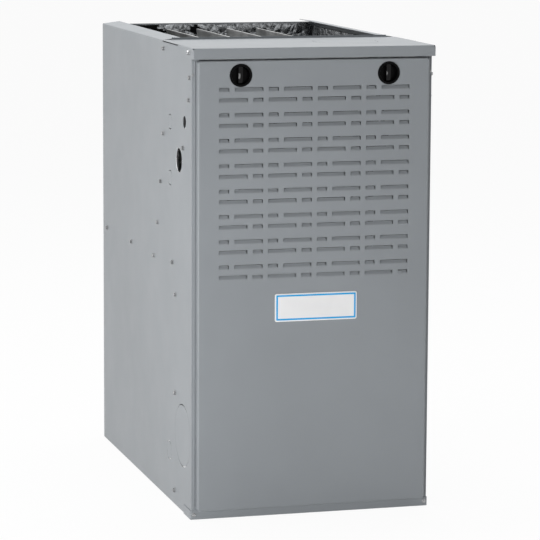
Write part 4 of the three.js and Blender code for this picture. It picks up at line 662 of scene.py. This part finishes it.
def door():
    sheet = Shape()
    inset = DOOR_BEND + SUPPORT

    def ring(inset, y):
        return [(a, y, b) for a, b in rounded(DOOR_LEFT + inset, DOOR_RIGHT - inset, DOOR_BOTTOM + inset,
                                              DOOR_TOP - inset, DOOR_CORNER - inset, 6)]

    holes = [circle(x, LATCH_Z, 17.9, 40) for x in LATCHES.values()]
    # of a louver's hole and its flap, which is joined along the hole's lower edge and pressed in
    height, open_at, corner, press = 8.2, 6.9, 1.3, 3.4
    for x, z, width in louvers():
        top = [(x + width - corner + corner * math.cos(t), z + height - corner + corner * math.sin(t))
               for t in (0, 0.4, 0.8, 1.2, math.pi / 2)]
        top += [(2 * x + width - a, b) for a, b in top[::-1]]
        holes.append([(x, z), (x + width, z)] + top)
        rows = []
        for v in (0, 0.1, 0.2, 0.35, 0.5, 0.65, 0.8, 0.9, 1):
            depth = press * v * v * (3 - 2 * v)
            freed = min(1, 2.5 * v)  # how far its sides have left the hole's
            rows.append([(x + 0.35 * freed, DOOR_FRONT + depth, z + open_at * v),
                         (x + width - 1.1 * freed, DOOR_FRONT + depth, z + open_at * v)])
        sheet.grid(rows, tag=1)  # a slot of its own keeps the edge to the pan sharp
    sheet.flat([(a, b) for a, _, b in ring(inset, 0)], holes, lambda a, b: (a, DOOR_FRONT, b))
    rings = [ring(inset, DOOR_FRONT)]
    rings += [ring(DOOR_BEND - DOOR_BEND * math.sin(t), DOOR_FRONT + DOOR_BEND - DOOR_BEND * math.cos(t))
              for t in quarter(6)]
    rings += [ring(0, DOOR_FRONT + DOOR_BEND + SUPPORT), ring(0, DOOR_BACK)]
    sheet.grid(rings, True)
    solid = Shape()
    for x in HOOKS:
        solid.block((x - 10, x + 10), (-3, 12), (16.65, 17.65))
        solid.block((x - 9, x + 9), (8, 9.2), (13.3, 17))
    solid.block((372, 388), (-13.8, -1.3), (424, 440))  # striker of the door switch
    add("door_pan", "door", ["door"], [PAINT, PAINT], sheet, solid, thick=1, bevel=0.2)


def nameplate():
    solid = Shape()
    width, height, off_centre = 153, 50.5, 4
    packed_louver, gap = 5.6, 28.2
    left, right = (WIDTH - width) / 2 + off_centre, (WIDTH + width) / 2 + off_centre
    top = LOUVER_TOP - packed_louver - (LOUVER_PAIRS - 1) * PAIR_PITCH - ROW_STEP - gap
    bottom = top - height
    back, front = -14.8, -16.3

    def ring(inset, y):
        return [(a, y, b) for a, b in rounded(left + inset, right - inset, bottom + inset, top - inset,
                                              max(0.5, 3.6 - inset), 6)]

    edge = [ring(0.4, back), ring(0, back), ring(0, front + 0.45), ring(0.12, front + 0.15), ring(0.45, front)]
    made = solid.grid(edge, True)
    solid.face(made[0])
    solid.grid([ring(0.45, front), ring(2.4, front)], True)
    border = [ring(2.4, front), ring(2.45, front - 0.06), ring(5.35, front - 0.06), ring(5.4, front)]
    solid.grid(border, True, tag=1)
    made = solid.grid([ring(5.4, front), ring(5.45, front)], True)
    solid.face(made[-1])
    add("name_plate", "door", ["nameplate"], [WHITE, CYAN], solid=solid, bevel=0)


def latches():
    for side, x in LATCHES.items():
        centre = (x, 0, LATCH_Z)
        cup = Shape()
        front = -15.9
        cup.turned(centre, "y", [
            (20.5, -14.8), (20.5, front + 0.7), (20.3, front + 0.25), (19.8, front), (17.1, front),
            (16.6, front + 0.2), (16.4, front + 0.7), (16.4, -3.6), (15.4, -2.5), (LATCH_BORE, -2.5),
            (LATCH_BORE, -1.3), (16.4, -1.3), (17.6, -2.5), (17.6, -14.8),
        ], 72)
        add(f"latch_bezel_{side}", "door", [f"latch_cup_{side}"], [JET], solid=cup, bevel=0)
        grip = Shape()
        disc = [(TIP, -4.3), (15.6, -4.3), (16.1, -3.8), (16.1, -2.8), (TIP, -2.8)]
        grip.turned(centre, "y", disc, 64, tag=1, closed=False)
        half, reach = 4, 15.8
        tip = math.asin(half / reach)
        ends = [math.pi / 2 - tip + 2 * tip * i / 8 for i in range(9)]
        outline = [(x + reach * math.cos(t), LATCH_Z + reach * math.sin(t)) for t in ends]
        outline.append((x - half, LATCH_Z))
        outline += [(2 * x - a, 2 * LATCH_Z - b) for a, b in outline]

        def ring(y, draw, lean=0.0):
            """The grip's outline at a depth; its lower half leans back."""
            points = [(x + (a - x) * draw, LATCH_Z + (b - LATCH_Z) * (0.5 + draw / 2)) for a, b in outline]
            return [(a, y + lean * max(0, LATCH_Z - b), b) for a, b in points]

        tops = ((-12, 0.98), (-13.6, 0.95), (-15.2, 0.27), (-15.35, 0.15))
        grip.loft([ring(-3.4, 1)] + [ring(y, draw, 0.11) for y, draw in tops])
        grip.rod(centre, "y", 4, -3.4, 7.7)
        add(f"latch_handle_{side}", f"latch_{side}", [f"latch_grip_{side}"], [BLACK, JET],
            solid=grip, bevel=0)
        cam = Shape()
        out = 1 if side == "left" else -1
        arm = [(x + 8 * math.cos(t), LATCH_Z + 8 * math.sin(t)) for t in np.linspace(0.85, TAU - 0.85, 26)]
        arm += [(x + 22, LATCH_Z - 6), (x + 24, LATCH_Z - 4), (x + 24, LATCH_Z + 4), (x + 22, LATCH_Z + 6)]
        arm = [(x + (a - x) * out, b) for a, b in arm]
        bore = circle(x, LATCH_Z, LATCH_BORE, 32)
        faces = (4, 6.2)
        for y in faces:
            cam.flat(arm, [bore], lambda a, b, y=y: (a, y, b))
        for loop in (arm, bore):
            cam.grid([[(a, y, b) for a, b in loop] for y in faces], True)
        add(f"latch_arm_{side}", f"latch_{side}", [f"latch_cam_{side}"], [STEEL],
            solid=cam, bevel=0.25)


# ---- insulation and the heat exchanger ----


def vestibule_front(z):
    """How far back the vestibule panel's front is at a height."""
    return VESTIBULE + max(0, VESTIBULE_BEND - z) * SLOPE


def crumple(a, b, seed):
    """Soft hills and creases of a foil-faced blanket, from 0 to 1."""
    value = 0
    # radians per millimetre in a and in b, and the share of each wave
    waves = ((0.021, 0.017, 0.4), (0.047, 0.055, 0.3), (0.11, 0.09, 0.2), (0.21, 0.25, 0.1))
    for k, (fa, fb, share) in enumerate(waves):
        value += share * abs(math.sin(a * fa + seed + 1.7 * k + 1.3 * math.sin(b * fb * 0.8 + seed * k)))
    return 1 - value


def border_of(rows):
    """What lies along the border of a grid, once round."""
    return rows[0] + [r[-1] for r in rows[1:]] + rows[-1][-2::-1] + [r[0] for r in rows[-2:0:-1]]


def blanket(name, body, node, place, a_range, b_range, thick, seed, start=None, step=7, painted_shade_patch=None):
    """A fibre blanket with a crumpled foil face; place(a, b, depth) gives a point, depth 0 being the wall.

    start(b) is the first a of a row, where it isn't a_range's; the last argument, a function of x and z, says
    where a near-black fibre takes the foil's place as painted shade.
    """
    solid = Shape()
    na, nb = int((a_range[1] - a_range[0]) / step), int((b_range[1] - b_range[0]) / step)
    flat = []
    for j in range(nb + 1):
        b = b_range[0] + (b_range[1] - b_range[0]) * j / nb
        first = start(b) if start else a_range[0]
        flat.append([(first + (a_range[1] - first) * i / na, b) for i in range(na + 1)])
    rows = []
    for j, line in enumerate(flat):
        row = []
        for i, (a, b) in enumerate(line):
            edge = min(1, min(i, na - i, j, nb - j) / 2)
            depth = thick * (0.72 + 0.28 * edge) - 2.4 * edge * (1 - crumple(a, b, seed))
            row.append(place(a, b, depth))
        rows.append(row)
    face = solid.grid(rows)
    # faces given slot 1 get the near-black fibre, which is painted shade
    if painted_shade_patch:
        for f in solid.bm.faces:
            middle = f.calc_center_median()
            f.material_index = painted_shade_patch(middle.x, middle.z)
    loop = border_of(face)
    base = [solid.bm.verts.new(place(a, b, 0)) for a, b in border_of(flat)]
    for i in range(len(loop)):
        j = (i + 1) % len(loop)
        solid.face((loop[i], loop[j], base[j], base[i]))
    solid.face(base[::-1])
    piece = add(name, body, [node], [FOIL, PAINTED_SHADE], solid=solid, bevel=0, angle=60)


def insulation():
    wall, foot, thick = 1.2, DECK + 1.5, 12
    back_edge, behind = DEPTH - wall, 19.2

    def front(z):
        return vestibule_front(z) + behind

    def painted_shade_patch(x, z):
        """Near-black fibre in place of the foil: at the left as painted shade where the left wall's shadow
        falls, and in an oval near the top.
        """
        # painted shade down the left end of the back blanket, where the wall shades it
        shaded_left = x < 122 + 9 * math.sin(0.17 * z) + 6 * math.sin(0.41 * z + 1)
        return int(shaded_left or math.hypot((x - 190) / 11, (z - 832) / 9) < 1)

    depths, heights = (VESTIBULE + behind, back_edge), (foot, CELL_TOP)
    blanket("blanket_left", "casing", "insulation_left", lambda a, b, d: (wall + d, a, b),
            depths, heights, thick, 0.4, front)
    blanket("blanket_right", "casing", "insulation_right", lambda a, b, d: (WIDTH - wall - d, a, b),
            depths, heights, thick, 2.1, front)
    blanket("blanket_back", "casing", "insulation_back", lambda a, b, d: (a, back_edge - d, b),
            (13.5, WIDTH - 13.5), (foot, 842), thick, 1.2, step=4, painted_shade_patch=painted_shade_patch)
    blanket("door_blanket", "door", "door_insulation_pad", lambda a, b, d: (a, -13.2 + d, b),
            (22.5, 422.5), (34, 418), 9, 3.0)


def cell_line():
    """The middle line of a cell's passage, in y and z: four runs and three turns."""
    pitch = (CELL_OUTLET - CELL_INLET) / 3
    radius = pitch / 2
    line = [(200, CELL_INLET)]
    for turn in range(3):
        y, side = (CELL_REAR - 76, 1) if turn % 2 == 0 else (300, -1)
        z = CELL_INLET + turn * pitch + radius
        line += [(y + side * radius * math.cos(t), z + radius * math.sin(t))
                 for t in np.linspace(-math.pi / 2, math.pi / 2, 13)]
    line.append((180, CELL_OUTLET))
    return np.array(line)


def cells():
    line = cell_line()
    start, step = line[:-1], np.diff(line, axis=0)
    lengths = np.hypot(step[:, 0], step[:, 1])
    along = np.concatenate([[0], np.cumsum(lengths)])
    rows, columns = 80, 92
    wide, narrow = 24, 14  # half the passage's height, at its inlet and its outlet
    swell = 16  # how far a passage stands out
    zs = np.linspace(CELL_BOTTOM, CELL_TOP, rows)
    share = np.linspace(0, 1, columns)
    fronts = [vestibule_front(z) + 8 for z in zs]
    ys = np.array([[front + (CELL_REAR - front) * s for s in share] for front in fronts])
    grid = np.stack([ys, np.repeat(zs[:, None], columns, 1)], -1)
    best = np.full(ys.shape, 1e9)
    for k in range(len(start)):
        t = np.clip(((grid - start[k]) @ step[k]) / lengths[k] ** 2, 0, 1)
        gap = np.linalg.norm(grid - (start[k] + t[..., None] * step[k]), axis=-1)
        half = wide - (wide - narrow) * (along[k] + t * lengths[k]) / along[-1]
        best = np.minimum(best, gap / half)
    height = swell * np.sqrt(np.clip(1 - np.clip(best, 0, 1) ** 3, 0, 1))
    height[zs > CELL_TOP - 5] = 0.9  # the crimp along the top
    for n in range(4):
        x = CELL_FIRST + CELL_PITCH * n
        solid = Shape()
        sides = []
        for sign in (-1, 1):
            made = solid.grid([[(x + sign * (1 + height[j, i]), ys[j, i], zs[j]) for i in range(columns)]
                               for j in range(rows)])
            sides.append(border_of(made))
        for i in range(len(sides[0])):
            j = (i + 1) % len(sides[0])
            solid.face((sides[0][i], sides[0][j], sides[1][j], sides[1][i]))
        for z, half, y0, y1 in ((CELL_INLET, wide, 234, 256), (CELL_OUTLET, narrow, 211, 226)):
            mouth = rounded(x - 17, x + 17, z - half, z + half, 8, 6)
            inside = rounded(x - 15.7, x + 15.7, z - half + 1.3, z + half - 1.3, 6.7, 6)
            wall = ((inside, y1), (inside, y0), (mouth, y0), (mouth, y1))
            solid.grid([[(a, y, b) for a, b in loop] for loop, y in wall], True)
        add(f"clamshell_{n + 1}", "casing", [f"heat_exchanger_cell_{n + 1}"], [ALUMINISED],
            solid=solid, bevel=0, angle=50)


# ---- hose and wires ----


PRESSURE_X = 385  # of the pressure switch, from which the hose leaves at the front and the wires below


def pressure_hose():
    x, end, z, tap = PRESSURE_X, 139.7, 665, (353, 136.15, 770)
    path = smooth_path([(x, end, z), (x, end - 8, z), (x + 2, end - 24, z + 8), (x + 4, end - 30, z + 36),
                        (x - 2, end - 20, z + 80), (x - 12, (end + tap[1]) / 2, tap[2] - 4),
                        (tap[0] + 9, tap[1], tap[2]), tap])
    soft_line("silicone_hose", "pressure_hose", path, 4)


def wiring_harness():
    hole_x, hole_y, plug = 350, 60, (201, 86, 381.3)
    x, y, foot = PRESSURE_X, 167.5, 632.7
    path = smooth_path([
        plug, (plug[0], plug[1], plug[2] + 12), (plug[0] + 20, plug[1] - 8, plug[2] + 34),
        ((plug[0] + hole_x) / 2, hole_y + 4, plug[2] + 42), (hole_x - 26, hole_y, plug[2] + 42),
        (hole_x, hole_y, DECK - 6), (hole_x, hole_y, DECK + 24), (hole_x + 8, hole_y + 20, DECK + 90),
        (x - 8, y - 30, foot - 50), (x, y, foot - 14), (x, y, foot),
    ])
    soft_line("wire_loom", "wiring_harness", path, 5)


def soft_line(name, node, path, radius):
    solid = Shape()
    solid.tube(path, radius)
    piece = add(name, "casing", [node], [RUBBER], solid=solid, bevel=0, angle=60)
    line = [at(*p) for p in path]
    length = sum((b - a).length for a, b in zip(line, line[1:]))
    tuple(line[0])


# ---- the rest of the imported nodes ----

NODE_LOOKS = (
    (ZINC, ("front_header", "blower_deck", "side_stiffener_left", "side_stiffener_right", "inducer_wheel",
            "vent_collar", "burner_bracket", "junction_box", "control_bracket", "run_capacitor",
            "blower_housing", "blower_rail_left", "blower_rail_right", "blower_wheel", "motor_mount")),
    (ALUMINISED, ("vestibule_panel", "collector_box", "burner_1", "burner_2", "burner_3", "burner_4")),
    (DARK, ("inducer_housing", "inducer_motor", "gas_manifold", "transformer", "blower_motor")),
    (CAST, ("gas_valve",)),
    (BLACK, ("gas_valve_knob", "pressure_switch", "door_switch_body")),
    (CERAMIC, ("igniter", "flame_sensor")),
    (STEEL, ("inducer_shaft", "rollout_switch", "limit_switch", "blower_shaft")),
    (RED, ("rollout_reset_button",)),
    (BOARD, ("control_board",)),
    (WHITE, ("door_switch_plunger",)),
)


def dress_nodes():
    for look, names in NODE_LOOKS:
        for name in names:
            node = NODES[name]
            node.data.materials.clear()
            node.data.materials.append(look)


# ---- stage, light and camera ----

AMBIENT = 0.2  # light of the world on the object
FLOOR_GREY = 0.88
FLOOR_GLOW = 0.95  # how much of the floor is plain white to the camera; the rest keeps the shadow
FLOOR_REACH = 150
# name, place, target, side and watts
LAMPS = (
    ("top", (0.2, 0.9, 3.8), (0, 0, 0.8), 2.2, 96),
    ("left_high", (-3.2, 0.3, 2.6), (0, 0, 0.5), 2.0, 40),
    ("front_near", (-1.45, -1.95, 0.18), (0, -0.3, 0.2), 0.9, 35),
)


def calculated(tree, operation, first, second):
    """The result of a sum on an output and another output or a number."""
    node = tree.nodes.new("ShaderNodeMath")
    node.operation = operation
    tree.links.new(first, node.inputs[0])
    if isinstance(second, float):
        node.inputs[1].default_value = second
    else:
        tree.links.new(second, node.inputs[1])
    return node.outputs[0]


def mixed(tree, factor, lit, shown, out):
    """Mixes the shader that lights and the one that is seen, into an output node."""
    mix = tree.nodes.new("ShaderNodeMixShader")
    tree.links.new(factor, mix.inputs[0])
    tree.links.new(lit.outputs[0], mix.inputs[1])
    tree.links.new(shown.outputs[0], mix.inputs[2])
    tree.links.new(mix.outputs[0], out.inputs["Surface"])


def stage():
    floor = bpy.data.meshes.new("floor")
    r = FLOOR_REACH
    floor.from_pydata([(-r, -r, 0), (r, -r, 0), (r, r, 0), (-r, r, 0)], [], [(0, 1, 2, 3)])
    plane = bpy.data.objects.new("floor", floor)
    plane.location.z = -0.0008
    bpy.context.scene.collection.objects.link(plane)
    look = bpy.data.materials.new("pale_floor")
    look.use_nodes = True
    tree = look.node_tree
    tree.nodes.clear()
    matt = tree.nodes.new("ShaderNodeBsdfDiffuse")
    matt.inputs["Color"].default_value = (FLOOR_GREY, FLOOR_GREY, FLOOR_GREY, 1)
    glow = tree.nodes.new("ShaderNodeEmission")
    glow.inputs["Color"].default_value = (1, 1, 1, 1)
    ray = tree.nodes.new("ShaderNodeLightPath").outputs
    seen = calculated(tree, "MAXIMUM", ray["Is Camera Ray"], ray["Is Glossy Ray"])
    share = calculated(tree, "MULTIPLY", seen, FLOOR_GLOW)
    mixed(tree, share, matt, glow, tree.nodes.new("ShaderNodeOutputMaterial"))
    floor.materials.append(look)
    plane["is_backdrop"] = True


def surroundings():
    """White where it is seen or mirrored, and a soft light elsewhere."""
    world = bpy.data.worlds.new("studio")
    bpy.context.scene.world = world
    world.use_nodes = True
    tree = world.node_tree
    tree.nodes.clear()
    ray = tree.nodes.new("ShaderNodeLightPath").outputs
    seen = calculated(tree, "MAXIMUM", ray["Is Camera Ray"], ray["Is Glossy Ray"])
    seen = calculated(tree, "MAXIMUM", seen, ray["Is Transmission Ray"])
    lit, shown = (tree.nodes.new("ShaderNodeBackground") for _ in range(2))
    for node, strength in ((lit, AMBIENT), (shown, 1)):
        node.inputs["Color"].default_value = (1, 1, 1, 1)
        node.inputs["Strength"].default_value = strength
    mixed(tree, seen, lit, shown, tree.nodes.new("ShaderNodeOutputWorld"))


def lights():
    for name, place, target, size, watts in LAMPS:
        data = bpy.data.lights.new(name, "AREA")
        data.shape = "SQUARE"
        data.size = size
        data.energy = watts
        made = bpy.data.objects.new(name, data)
        made.location = place
        made.rotation_euler = (Vector(target) - Vector(place)).to_track_quat("-Z", "Y").to_euler()
        bpy.context.scene.collection.objects.link(made)


# found from the corners of the cabinet: degrees, metres, and pixels of the square image
AZIMUTH, ELEVATION, ROLL = -15.5, 8.3, 0.25
TARGET, DISTANCE = (-0.0005, 0.0075, 0.423), 5.2
IMAGE, FOCAL, SHIFT = 540, 2706, (13.0, -16.4)
SENSOR = 36  # millimetres


def camera():
    azimuth, elevation, roll = math.radians(AZIMUTH), math.radians(ELEVATION), math.radians(ROLL)
    target = Vector(TARGET)
    back = Vector((math.sin(azimuth) * math.cos(elevation), -math.cos(azimuth) * math.cos(elevation),
                   math.sin(elevation)))
    right = (-back).cross(Vector((0, 0, 1))).normalized()
    up = right.cross(-back)
    right, up = (right * math.cos(roll) + up * math.sin(roll), up * math.cos(roll) - right * math.sin(roll))
    data = bpy.data.cameras.new("camera")
    data.sensor_fit = "HORIZONTAL"
    data.sensor_width = SENSOR
    data.lens = FOCAL / IMAGE * SENSOR
    data.shift_x = SHIFT[0] / IMAGE
    data.shift_y = SHIFT[1] / IMAGE
    data.clip_end = 500
    made = bpy.data.objects.new("camera", data)
    made.matrix_world = Matrix([[right[i], up[i], back[i], target[i] + DISTANCE * back[i]]
                                for i in range(3)] + [[0, 0, 0, 1]])
    bpy.context.scene.collection.objects.link(made)
    bpy.context.scene.camera = made


camera()
pressure_hose()
wiring_harness()
stage()
surroundings()
lights()
casing()
cover()
rail()
fasteners()
door()
nameplate()
latches()
insulation()
cells()
dress_nodes()

bpy.context.scene.view_settings.view_transform = "Standard"


def corners(box):
    return [[round(float(c), 6) for c in corner] for corner in box]


{"cad": corners(CAD_BOX), "visual": corners(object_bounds())}
